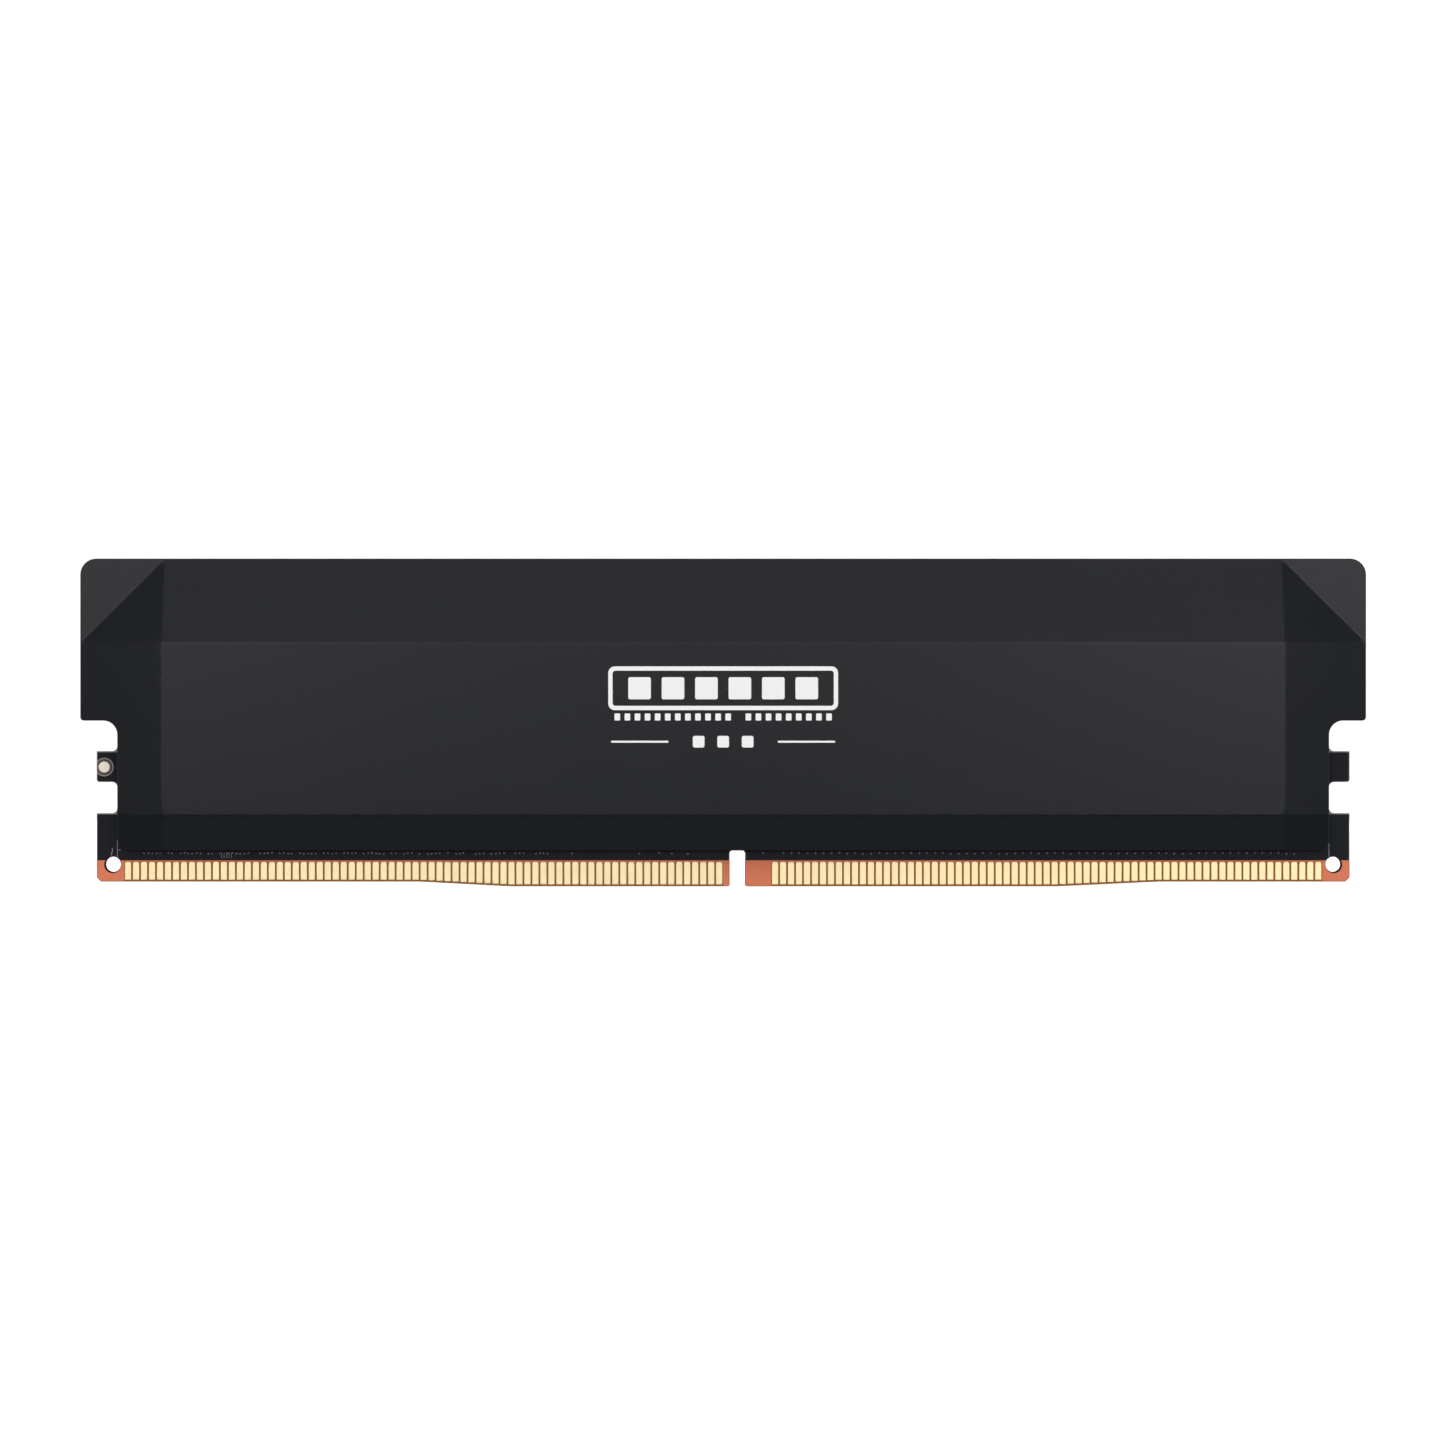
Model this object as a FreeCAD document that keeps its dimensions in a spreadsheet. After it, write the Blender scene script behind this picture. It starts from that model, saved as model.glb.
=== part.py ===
"""A computer memory module: a card-edge circuit board with its chips, between two aluminium heat spreaders.

Everything is in millimetres, in the module's own frame. +X runs along the card edge, +Y points to the
rear and +Z points up, away from the socket. The origin is at the middle of the card edge: halfway along
the board, halfway through its thickness, and level with the lowest part of the contact edge.

The board, each chip, each group of small parts, each thermal pad and each heat spreader is a sub-part.
The two heat spreaders are the same pressing: the rear one is the front one turned half a turn about Z,
and the dovetails on their top flanges lock into each other.
"""

import FreeCAD, Part
import os
import Sketcher
from FreeCAD import Placement, Rotation, Vector

doc = FreeCAD.newDocument("memory_module")

# ---------------------------------------------------------------------------------------------------
# Driving dimensions, one row each: name, size in millimetres (or a count), what it is.
# ---------------------------------------------------------------------------------------------------

SIZES = [
    ("board_length", 133.35, "circuit board, along X"),
    ("board_height", 31.25, "circuit board, from the lowest part of its edge to its top"),
    ("board_thickness", 1.27, "circuit board, along Y"),
    ("edge_step", 0.5, "how far the ends of the card edge stand above its middle"),
    ("left_ramp_end", -32.3, "X where the left end of the card edge starts to slope down"),
    ("left_ramp_foot", -22.5, "X where that slope reaches the lowest part"),
    ("right_ramp_foot", 35.3, "X where the slope on the right leaves the lowest part"),
    ("right_ramp_end", 46.4, "X where that slope ends"),
    ("corner_cut", 0.45, "rounding of the two lower corners of the board"),
    ("key_centre", 1.5, "X of the middle of the key slot"),
    ("key_width", 1.6, "key slot, along X"),
    ("key_top", 3.8, "Z of the end of the key slot"),
    ("key_radius", 0.3, "rounding at the end and the mouth of the key slot"),
    ("latch_depth", 2.2, "latch notches, along X"),
    ("latch_low_from", 7.8, "Z where the lower latch notch starts"),
    ("latch_low_to", 11.1, "Z where the lower latch notch ends"),
    ("latch_high_from", 14.4, "Z where the upper latch notch starts"),
    ("latch_high_to", 17.64, "Z where the upper latch notch ends"),
    ("latch_radius", 0.55, "rounding in the latch notches"),
    ("tooling_x", 64.9, "X of each tooling hole from the middle"),
    ("tooling_z", 2.35, "Z of the tooling holes"),
    ("tooling_diameter", 1.6, "tooling holes"),
    ("pin_pitch", 0.85, "contact pitch"),
    ("pin_first", -63.325, "X of the first contact"),
    ("pins_left", 75, "contacts on each face left of the key slot"),
    ("pins_right", 69, "contacts on each face right of the key slot"),
    ("pins_missing", 6, "contact places that the key slot takes up"),
    ("pin_width", 0.66, "one contact, along X"),
    ("pin_top", 2.62, "Z of the top of the contacts"),
    ("pin_gap", 0.2, "bare laminate between the contacts and the card edge"),
    ("pin_corner", 0.16, "cut on the two upper corners of a contact"),
    ("plating", 0.04, "how far the contacts stand off the board"),
    ("dram_width", 9.0, "memory package, along X"),
    ("dram_height", 11.0, "memory package, along Z"),
    ("dram_ball", 0.3, "standoff of its solder balls"),
    ("dram_substrate", 0.2, "its substrate"),
    ("dram_mould", 0.6, "its mould compound"),
    ("dram_inset", 0.12, "how much smaller the mould is than the substrate, each side"),
    ("dram_first", 18.0, "X of the package nearest the middle"),
    ("dram_pitch", 11.5, "distance between packages"),
    ("dram_level", 15.2, "Z of the middle of the packages"),
    ("ball_diameter", 0.45, "solder ball"),
    ("ball_pitch", 0.8, "solder ball pitch"),
    ("ball_rows", 13, "rows of balls"),
    ("ball_columns", 3, "columns of balls in each of the two blocks"),
    ("ball_block", 2.4, "X of the middle of each block of balls"),
    ("cap_length", 1.0, "small capacitor, along X"),
    ("cap_width", 0.5, "small capacitor, along Z"),
    ("cap_height", 0.5, "small capacitor, off the board"),
    ("cap_end", 0.25, "its metal ends, along X"),
    ("cap_swell", 0.03, "how far the metal ends stand proud of its body"),
    ("cap_first", 14.6, "X of the small capacitors nearest the middle"),
    ("cap_pitch", 3.85, "distance between small capacitors"),
    ("cap_count", 12, "small capacitors in each row"),
    ("cap_low", 8.2, "Z of their lower row"),
    ("cap_high", 22.4, "Z of their upper row"),
    ("array_length", 2.0, "resistor array, along X"),
    ("array_width", 1.0, "resistor array, along Z"),
    ("array_height", 0.4, "resistor array, off the board"),
    ("array_first", 15.5, "X of the resistor arrays nearest the middle"),
    ("array_pitch", 4.6, "distance between resistor arrays"),
    ("array_count", 10, "resistor arrays on each side of the middle"),
    ("array_level", 5.9, "Z of the resistor arrays"),
    ("pmic_side", 5.0, "power management chip, along X and Z"),
    ("pmic_height", 0.9, "power management chip, off the board"),
    ("pmic_x", 0.0, "its X"),
    ("pmic_z", 21.0, "its Z"),
    ("hub_length", 3.0, "sideband hub chip, along X"),
    ("hub_width", 2.0, "sideband hub chip, along Z"),
    ("hub_height", 0.75, "sideband hub chip, off the board"),
    ("hub_x", -1.5, "its X"),
    ("hub_z", 10.5, "its Z"),
    ("coil_side", 4.0, "power inductor, along X and Z"),
    ("coil_height", 1.4, "power inductor, off the board"),
    ("coil_corner", 0.5, "rounding of its corners"),
    ("coil_pitch", 4.9, "distance between the power inductors"),
    ("coil_level", 15.4, "Z of the power inductors"),
    ("bulk_length", 2.0, "bulk capacitor, along X"),
    ("bulk_width", 1.25, "bulk capacitor, along Z"),
    ("bulk_height", 1.2, "bulk capacitor, off the board"),
    ("bulk_end", 0.4, "its metal ends, along X"),
    ("bulk_first", 5.6, "X of the bulk capacitors nearest the middle"),
    ("bulk_pitch", 3.0, "distance between bulk capacitors, along X"),
    ("bulk_low", 19.2, "Z of their lower row"),
    ("bulk_high", 22.0, "Z of their upper row"),
    ("mark_pad", 1.2, "diameter of the copper alignment mark on the left tab"),
    ("mark_x", -65.85, "its X"),
    ("mark_z", 12.7, "its Z"),
    ("pad_from", 12.8, "X where the memory thermal pads start, from the middle"),
    ("pad_to", 57.6, "X where they end"),
    ("pad_low", 9.3, "Z where they start"),
    ("pad_high", 21.1, "Z where they end"),
    ("power_pad_length", 15.2, "thermal pad over the power parts, along X"),
    ("power_pad_low", 13.2, "Z where it starts"),
    ("power_pad_high", 23.7, "Z where it ends"),
    ("spreader_length", 136.6, "heat spreader, over its two wings"),
    ("spreader_body", 128.7, "heat spreader, below its wings"),
    ("spreader_top", 34.85, "Z of its top"),
    ("spreader_bottom", 3.87, "Z of its lower edge"),
    ("wing_bottom", 17.64, "Z of the lower edge of its wings"),
    ("wing_radius", 1.7, "rounding of its top corners"),
    ("wing_tip_radius", 0.4, "rounding under its wings"),
    ("wing_root_radius", 1.5, "rounding where a wing meets the body"),
    ("foot_radius", 1.0, "rounding of its lower corners"),
    ("spreader_face", 3.6, "distance of its raised panel from the mid-plane"),
    ("spreader_sheet", 1.0, "thickness of its sheet"),
    ("facet_fall", 1.0, "how far its sides fall back from the raised panel"),
    ("panel_half", 59.6, "half the length of the raised panel"),
    ("panel_half_top", 59.3, "half the length of the upper band at its top"),
    ("panel_low", 7.54, "Z of the lower edge of the raised panel"),
    ("panel_high", 25.9, "Z of the upper edge of the raised panel"),
    ("flange_length", 131.2, "top flange, along X"),
    ("flange_depth", 0.9, "thickness of the top flange, along Z"),
    ("seam", 0.1, "gap between the two top flanges"),
    ("tongue_outer", 48.0, "X of the outer dovetails from the middle"),
    ("tongue_inner", 16.0, "X of the inner dovetails from the middle"),
    ("tongue_root", 2.1, "half the width of a dovetail at its root"),
    ("tongue_tip", 2.9, "half the width of a dovetail at its tip"),
    ("tongue_reach", 1.35, "how far a dovetail crosses the mid-plane"),
    ("tongue_play", 0.06, "clearance around a dovetail"),
    ("label_length", 38.0, "label on the rear spreader, along X"),
    ("label_height", 14.0, "label, along Z"),
    ("label_thickness", 0.08, "label"),
    ("label_radius", 1.0, "rounding of the label's corners"),
    ("label_x", -37.0, "X of the middle of the label"),
    ("label_z", 16.7, "Z of the middle of the label"),
]

sheet = doc.addObject("Spreadsheet::Sheet", "sizes")
for row, (alias, value, meaning) in enumerate(SIZES, start=1):
    sheet.set(f"A{row}", meaning)
    sheet.set(f"B{row}", str(value))
    sheet.setAlias(f"B{row}", alias)
doc.recompute()

# ---------------------------------------------------------------------------------------------------
# Helpers. A size is written as an expression on the sheet's names, such as "board_length / 2".
# ---------------------------------------------------------------------------------------------------

NAMES = sorted((alias for alias, _, _ in SIZES), key=len, reverse=True)
FRONT = 1
REAR = -1


def on_sheet(text):
    """The expression with each of the sheet's names written as sizes.name."""
    words = []
    for word in str(text).replace("(", " ( ").replace(")", " ) ").split():
        sign = "-" if word.startswith("-") and len(word) > 1 else ""
        bare = word[len(sign):]
        words.append(sign + ("sizes." + bare if bare in NAMES else bare))
    return " ".join(words)


def value_of(text):
    """The expression's value now, in millimetres."""
    found = sheet.evalExpression(on_sheet(text))
    return float(getattr(found, "Value", found))


def bind(thing, path, text):
    """Sets a property or constraint to an expression on the sheet."""
    thing.setExpression(path, on_sheet(text))


def new_body(label):
    body = doc.addObject("PartDesign::Body", label)
    body.AllowCompound = True
    return body


def new_sketch(body, role="XZ_Plane", offset="0"):
    """A sketch on one of the body's own origin planes, moved along that plane's normal.
    On the XZ plane the sketch's axes are X and Z, and the normal points to the front, along -Y."""
    sketch = body.newObject("Sketcher::SketchObject", "sketch")
    plane = [f for f in body.Origin.OriginFeatures if f.Role == role][0]
    sketch.AttachmentSupport = (plane, "")
    sketch.MapMode = "FlatFace"
    bind(sketch, "AttachmentOffset.Base.z", offset)
    return sketch


def add_polygon(sketch, corners):
    """A closed outline. Each corner is two expressions, and each corner is tied to the sheet."""
    first = sketch.GeometryCount
    places = [Vector(value_of(u), value_of(v), 0) for u, v in corners]
    for start, end in zip(places, places[1:] + places[:1]):
        sketch.addGeometry(Part.LineSegment(start, end), False)
    for i, (u, v) in enumerate(corners):
        line = first + i
        before = first + (i - 1) % len(corners)
        sketch.addConstraint(Sketcher.Constraint("Coincident", before, 2, line, 1))
        for kind, place in (("DistanceX", u), ("DistanceY", v)):
            rule = Sketcher.Constraint(kind, -1, 1, line, 1, value_of(place))
            bind(sketch, f"Constraints[{sketch.addConstraint(rule)}]", place)


def add_rectangle(sketch, left, right, low, high):
    add_polygon(sketch, [(left, low), (right, low), (right, high), (left, high)])


def add_circle(sketch, u, v, diameter):
    centre = Vector(value_of(u), value_of(v), 0)
    circle = sketch.addGeometry(Part.Circle(centre, Vector(0, 0, 1), value_of(diameter) / 2), False)
    for kind, place in (("DistanceX", u), ("DistanceY", v)):
        rule = Sketcher.Constraint(kind, -1, 1, circle, 3, value_of(place))
        bind(sketch, f"Constraints[{sketch.addConstraint(rule)}]", place)
    rule = Sketcher.Constraint("Diameter", circle, value_of(diameter))
    bind(sketch, f"Constraints[{sketch.addConstraint(rule)}]", diameter)


def pad(body, sketch, length, symmetric=False):
    """Material from the sketch along its plane's normal, or half to each side of it."""
    feature = body.newObject("PartDesign::Pad", "pad")
    feature.Profile = sketch
    feature.Midplane = symmetric
    bind(feature, "Length", length)
    doc.recompute()
    return feature


def cut_through(body, sketch):
    """Removes the sketch's outline from everything in front of and behind it."""
    before = body.Shape.Volume
    feature = body.newObject("PartDesign::Pocket", "pocket")
    feature.Profile = sketch
    feature.Type = "ThroughAll"
    feature.Midplane = True
    doc.recompute()
    if not body.Shape.Volume < before:
        raise RuntimeError(f"{body.Label}: a pocket removed nothing")
    return feature


def repeat(body, features, **ways):
    """Repeats features along X (H_Axis) or Z (V_Axis), or both. Each way is a distance and a count."""
    whole = body.newObject("PartDesign::MultiTransform", "repeats")
    whole.Originals = features
    patterns = []
    for axis, (distance, count) in ways.items():
        pattern = body.newObject("PartDesign::LinearPattern", "pattern")
        pattern.Direction = (features[0].Profile[0], [axis])
        pattern.Mode = "Spacing"
        bind(pattern, "Offset", distance)
        bind(pattern, "Occurrences", count)
        patterns.append(pattern)
    whole.Transformations = patterns
    body.Tip = whole
    doc.recompute()
    return whole


def edges_along_y(shape, places):
    """Names of the straight edges that run along Y through any of the places (X, Z)."""
    found = []
    for i, edge in enumerate(shape.Edges, start=1):
        a, b = edge.Vertexes[0].Point, edge.Vertexes[-1].Point
        runs_along_y = abs(a.x - b.x) < 1e-6 and abs(a.z - b.z) < 1e-6 and abs(a.y - b.y) > 1e-6
        if runs_along_y and any(abs(a.x - x) < 1e-4 and abs(a.z - z) < 1e-4 for x, z in places):
            found.append(f"Edge{i}")
    return found


def round_corners(body, places, radius):
    """Rounds the body's edges that run along Y through the places, given as expressions."""
    tip = body.Tip
    wanted = [(value_of(x), value_of(z)) for x, z in places]
    names = edges_along_y(tip.Shape, wanted)
    if len(names) < len(places):
        raise RuntimeError(f"{body.Label}: {len(names)} of {len(places)} corners were found")
    feature = body.newObject("PartDesign::Fillet", "fillet")
    feature.Base = (tip, names)
    bind(feature, "Radius", radius)
    doc.recompute()
    return feature


def place(thing, x="0", y="0", z="0", half_turn=False):
    """Puts a sub-part where the expressions say, turned half a turn about Z if it faces the rear."""
    thing.Placement = Placement(Vector(), Rotation(Vector(0, 0, 1), 180 if half_turn else 0))
    for axis, text in zip("xyz", (x, y, z)):
        bind(thing, f"Placement.Base.{axis}", text)


def seat_on(face, height="0", reach="0"):
    """Offset of an XZ sketch whose pad starts at a height above the board's front or rear face and
    is as long as its reach. A pad always grows towards -Y, so at the rear it starts at its far end."""
    if face == FRONT:
        return f"board_thickness / 2 + {height}"
    return f"0 - board_thickness / 2 - ( {height} ) - ( {reach} )"


# ---------------------------------------------------------------------------------------------------
# The circuit board and its contacts
# ---------------------------------------------------------------------------------------------------

LEFT_END = "0 - board_length / 2"
RIGHT_END = "board_length / 2"
LATCHES = [("latch_low_from", "latch_low_to"), ("latch_high_from", "latch_high_to")]


def card_edge(lift="0"):
    """The lower edge of the board from end to end, moved up by a lift: its middle is the lowest."""
    ends = f"edge_step + {lift}"
    return [
        (LEFT_END, ends), ("left_ramp_end", ends), ("left_ramp_foot", lift),
        ("right_ramp_foot", lift), ("right_ramp_end", ends), (RIGHT_END, ends),
    ]


def circuit_board():
    """A laminate card with a convex contact edge, a key slot, latch notches and two tooling holes."""
    body = new_body("circuit_board")
    outline = new_sketch(body)
    add_polygon(outline, card_edge() + [(RIGHT_END, "board_height"), (LEFT_END, "board_height")])
    pad(body, outline, "board_thickness", symmetric=True)

    key_left = "key_centre - key_width / 2"
    key_right = "key_centre + key_width / 2"
    cuts = new_sketch(body)
    add_rectangle(cuts, key_left, key_right, "0 - key_width", "key_top")
    for low, high in LATCHES:
        add_rectangle(cuts, f"{LEFT_END} - latch_depth", f"{LEFT_END} + latch_depth", low, high)
        add_rectangle(cuts, f"{RIGHT_END} - latch_depth", f"{RIGHT_END} + latch_depth", low, high)
    for side in ("0 - tooling_x", "tooling_x"):
        add_circle(cuts, side, "tooling_z", "tooling_diameter")
    cut_through(body, cuts)

    key_corners = [(x, z) for x in (key_left, key_right) for z in ("0", "key_top")]
    round_corners(body, key_corners, "key_radius")
    latch_corners = [(x, z) for x in (f"{LEFT_END} + latch_depth", f"{RIGHT_END} - latch_depth")
                     for ends in LATCHES for z in ends]
    round_corners(body, latch_corners, "latch_radius")
    round_corners(body, [(LEFT_END, "edge_step"), (RIGHT_END, "edge_step")], "corner_cut")
    return body


def contacts(label, face, right):
    """The gold contacts of one face, left or right of the key slot: they stop short of the card edge."""
    body = new_body(label)
    count = "pins_right" if right else "pins_left"
    first = "pin_first + ( pins_left + pins_missing ) * pin_pitch" if right else "pin_first"
    left, low = f"{first} - pin_width / 2", "0"
    east, high = f"{first} + pin_width / 2", "pin_top"
    start = seat_on(face, reach="plating")
    one = new_sketch(body, offset=start)
    add_polygon(one, [(left, low), (east, low), (east, f"{high} - pin_corner"),
                      (f"{east} - pin_corner", high), (f"{left} + pin_corner", high),
                      (left, f"{high} - pin_corner")])
    repeat(body, [pad(body, one, "plating")], H_Axis=("pin_pitch", count))
    trim = new_sketch(body, offset=start)
    below = [(RIGHT_END, "0 - edge_step"), (LEFT_END, "0 - edge_step")]
    add_polygon(trim, card_edge("pin_gap") + below)
    cut_through(body, trim)
    return body


def alignment_marks():
    """Two bare copper discs on the left tab, one on each face, that placement machines look for."""
    body = new_body("alignment_marks")
    for face in (FRONT, REAR):
        disc = new_sketch(body, offset=seat_on(face, reach="plating"))
        add_circle(disc, "mark_x", "mark_z", "mark_pad")
        pad(body, disc, "plating")
    return body


# ---------------------------------------------------------------------------------------------------
# Chips and small parts. Each is built about X = 0, Z = 0 in front of the board, then put in its place.
# ---------------------------------------------------------------------------------------------------

def half(size, inset="0"):
    """Both ends of a size that is centred on zero, drawn in by an inset."""
    return f"{inset} - {size} / 2", f"{size} / 2 - {inset}"


def memory_package(label, face, x):
    """A memory chip: moulded body on a substrate, on two blocks of solder balls."""
    body = new_body(label)
    substrate = new_sketch(body, offset=seat_on(FRONT, "dram_ball"))
    add_rectangle(substrate, *half("dram_width"), *half("dram_height"))
    pad(body, substrate, "dram_substrate")
    mould = new_sketch(body, offset=seat_on(FRONT, "dram_ball + dram_substrate"))
    add_rectangle(mould, *half("dram_width", "dram_inset"), *half("dram_height", "dram_inset"))
    pad(body, mould, "dram_mould")
    ball = new_sketch(body, offset=seat_on(FRONT))
    lowest = "( 1 - ball_rows ) / 2 * ball_pitch"
    inner = "( ball_columns - 1 ) / 2 * ball_pitch"
    for block in ("0 - ball_block", "ball_block"):
        add_circle(ball, f"{block} - {inner}", lowest, "ball_diameter")
    one = pad(body, ball, "dram_ball")
    repeat(body, [one], H_Axis=("ball_pitch", "ball_columns"), V_Axis=("ball_pitch", "ball_rows"))
    place(body, x, "0", "dram_level", half_turn=face == REAR)
    return body


def flat_chip(label, length, width, height, x, z):
    """A leadless chip: a moulded body standing a hair above the board on its centre pad."""
    body = new_body(label)
    centre = new_sketch(body, offset=seat_on(FRONT))
    add_rectangle(centre, *half(f"{length} * 0.7"), *half(f"{width} * 0.7"))
    pad(body, centre, "plating")
    mould = new_sketch(body, offset=seat_on(FRONT, "plating"))
    add_rectangle(mould, *half(length), *half(width))
    pad(body, mould, height)
    place(body, x, "0", z)
    return body


def power_inductor(label, x):
    """A moulded power inductor with a metal terminal wrapped under each end."""
    body = new_body(label)
    core = new_sketch(body, offset=seat_on(FRONT, "plating"))
    add_rectangle(core, *half("coil_side"), *half("coil_side"))
    pad(body, core, "coil_height - plating")
    corners = [(x, z) for x in half("coil_side") for z in half("coil_side")]
    round_corners(body, corners, "coil_corner")
    ends = new_sketch(body, offset=seat_on(FRONT))
    add_rectangle(ends, "0 - coil_side / 2", "0 - coil_side / 4", *half("coil_side * 0.7"))
    add_rectangle(ends, "coil_side / 4", "coil_side / 2", *half("coil_side * 0.7"))
    pad(body, ends, "plating")
    place(body, x, "0", "coil_level")
    return body


def end_capped(body, x, z, length, width, height, end):
    """One chip capacitor: a ceramic block between two metal ends that stand a little proud of it."""
    block = new_sketch(body, offset=seat_on(FRONT, "cap_swell"))
    add_rectangle(block, f"{x} - {length} / 2 + {end}", f"{x} + {length} / 2 - {end}",
                  f"{z} - {width} / 2 + cap_swell", f"{z} + {width} / 2 - cap_swell")
    middle = pad(body, block, f"{height} - cap_swell * 2")
    caps = new_sketch(body, offset=seat_on(FRONT))
    low, high = f"{z} - {width} / 2", f"{z} + {width} / 2"
    add_rectangle(caps, f"{x} - {length} / 2", f"{x} - {length} / 2 + {end}", low, high)
    add_rectangle(caps, f"{x} + {length} / 2 - {end}", f"{x} + {length} / 2", low, high)
    return [middle, pad(body, caps, height)]


def decoupling_capacitors(label, face):
    """Small capacitors in a row above and a row below the memory packages, on both sides."""
    body = new_body(label)
    sizes = ("cap_length", "cap_width", "cap_height", "cap_end")
    for start in ("0 - cap_first - cap_pitch * ( cap_count - 1 )", "cap_first"):
        one = end_capped(body, start, "cap_low", *sizes)
        repeat(body, one, H_Axis=("cap_pitch", "cap_count"), V_Axis=("cap_high - cap_low", "2"))
    place(body, half_turn=face == REAR)
    return body


def bulk_capacitors():
    """Eight larger capacitors on both sides of the power management chip."""
    body = new_body("bulk_capacitors")
    sizes = ("bulk_length", "bulk_width", "bulk_height", "bulk_end")
    for start in ("0 - bulk_first - bulk_pitch", "bulk_first"):
        one = end_capped(body, start, "bulk_low", *sizes)
        repeat(body, one, H_Axis=("bulk_pitch", "2"), V_Axis=("bulk_high - bulk_low", "2"))
    return body


def resistor_arrays(label, face):
    """Flat resistor arrays in a row between the memory packages and the contacts."""
    body = new_body(label)
    for start in ("0 - array_first - array_pitch * ( array_count - 1 )", "array_first"):
        block = new_sketch(body, offset=seat_on(FRONT))
        add_rectangle(block, f"{start} - array_length / 2", f"{start} + array_length / 2",
                      "array_level - array_width / 2", "array_level + array_width / 2")
        repeat(body, [pad(body, block, "array_height")], H_Axis=("array_pitch", "array_count"))
    place(body, half_turn=face == REAR)
    return body


# ---------------------------------------------------------------------------------------------------
# Thermal pads: from the top of the chips to the inside of the raised panel
# ---------------------------------------------------------------------------------------------------

PANEL_INSIDE = "spreader_face - spreader_sheet"


def memory_thermal_pad(label, face, right):
    """A strip of gap filler over four memory packages."""
    body = new_body(label)
    top = "board_thickness / 2 + dram_ball + dram_substrate + dram_mould"
    strip = new_sketch(body, offset=top)
    ends = ("pad_from", "pad_to") if right else ("0 - pad_to", "0 - pad_from")
    add_rectangle(strip, *ends, "pad_low", "pad_high")
    pad(body, strip, f"{PANEL_INSIDE} - ( {top} )")
    place(body, half_turn=face == REAR)
    return body


def power_thermal_pad():
    """A stepped pad: it lies on the inductors, and reaches down to the power management chip."""
    body = new_body("thermal_pad_power")
    coil_top = "board_thickness / 2 + coil_height"
    chip_top = "board_thickness / 2 + plating + pmic_height"
    strip = new_sketch(body, offset=coil_top)
    add_rectangle(strip, *half("power_pad_length"), "power_pad_low", "power_pad_high")
    pad(body, strip, f"{PANEL_INSIDE} - ( {coil_top} )")
    step = new_sketch(body, offset=chip_top)
    add_rectangle(step, "pmic_x - pmic_side / 2", "pmic_x + pmic_side / 2",
                  "pmic_z - pmic_side / 2", "pmic_z + pmic_side / 2")
    pad(body, step, f"{coil_top} - ( {chip_top} )")
    return body


# ---------------------------------------------------------------------------------------------------
# The heat spreaders
# ---------------------------------------------------------------------------------------------------

def mirrored(corners):
    """A run of corners followed by the same run on the other side, in the opposite order."""
    return corners + [(f"0 - ( {x} )", z) for x, z in reversed(corners)]


def pressed_sheet():
    """The faceted pressing, as one prism per facet: a flat middle panel, bands that slope away from it
    on all four sides, and at each corner a three-sided and an outer flat facet, or one lower facet."""
    face, fall = value_of("spreader_face"), value_of("facet_fall")
    wing, panel = value_of("spreader_length / 2"), value_of("panel_half")
    panel_top = value_of("panel_half_top")
    top, high = value_of("spreader_top"), value_of("panel_high")
    low, bottom = value_of("panel_low"), value_of("spreader_bottom")

    def facet(*corners):
        """A prism as thick as the sheet. Each corner is X, Z and how far it falls back."""
        points = [Vector(x, drop - face, z) for x, z, drop in corners]
        return Part.Face(Part.makePolygon(points + points[:1])).extrude(through_the_sheet)

    through_the_sheet = Vector(0, value_of("spreader_sheet"), 0)
    prisms = [
        facet((-panel, low, 0), (panel, low, 0), (panel, high, 0), (-panel, high, 0)),
        facet((-panel, high, 0), (panel, high, 0), (panel_top, top, fall), (-panel_top, top, fall)),
        facet((-panel, bottom, fall), (panel, bottom, fall), (panel, low, 0), (-panel, low, 0)),
    ]
    for a, b, c in ((-panel, -wing, -panel_top), (panel, wing, panel_top)):
        prisms += [
            facet((a, low, 0), (b, low, fall), (b, high, fall), (a, high, 0)),
            facet((a, high, 0), (b, high, fall), (c, top, fall)),
            facet((b, high, fall), (b, top, fall), (c, top, fall)),
            facet((a, low, 0), (b, low, fall), (b, bottom, fall * 2), (a, bottom, fall)),
        ]
    pressing = doc.addObject("Part::Feature", "pressed_sheet")
    pressing.Shape = prisms[0].multiFuse(prisms[1:]).removeSplitter()
    return pressing


def spreader_outline():
    """The outline of a heat spreader, front to mid-plane: a body with a wing at each upper corner."""
    body = new_body("spreader_outline")
    outline = new_sketch(body)
    right_side = [
        ("spreader_body / 2", "spreader_bottom"), ("spreader_body / 2", "wing_bottom"),
        ("spreader_length / 2", "wing_bottom"), ("spreader_length / 2", "spreader_top"),
    ]
    add_polygon(outline, mirrored(right_side))
    pad(body, outline, "spreader_face * 2", symmetric=True)
    radii = ["foot_radius", "wing_root_radius", "wing_tip_radius", "wing_radius"]
    for (x, z), radius in zip(right_side, radii):
        round_corners(body, [(x, z), (f"0 - ( {x} )", z)], radius)
    return body


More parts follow.
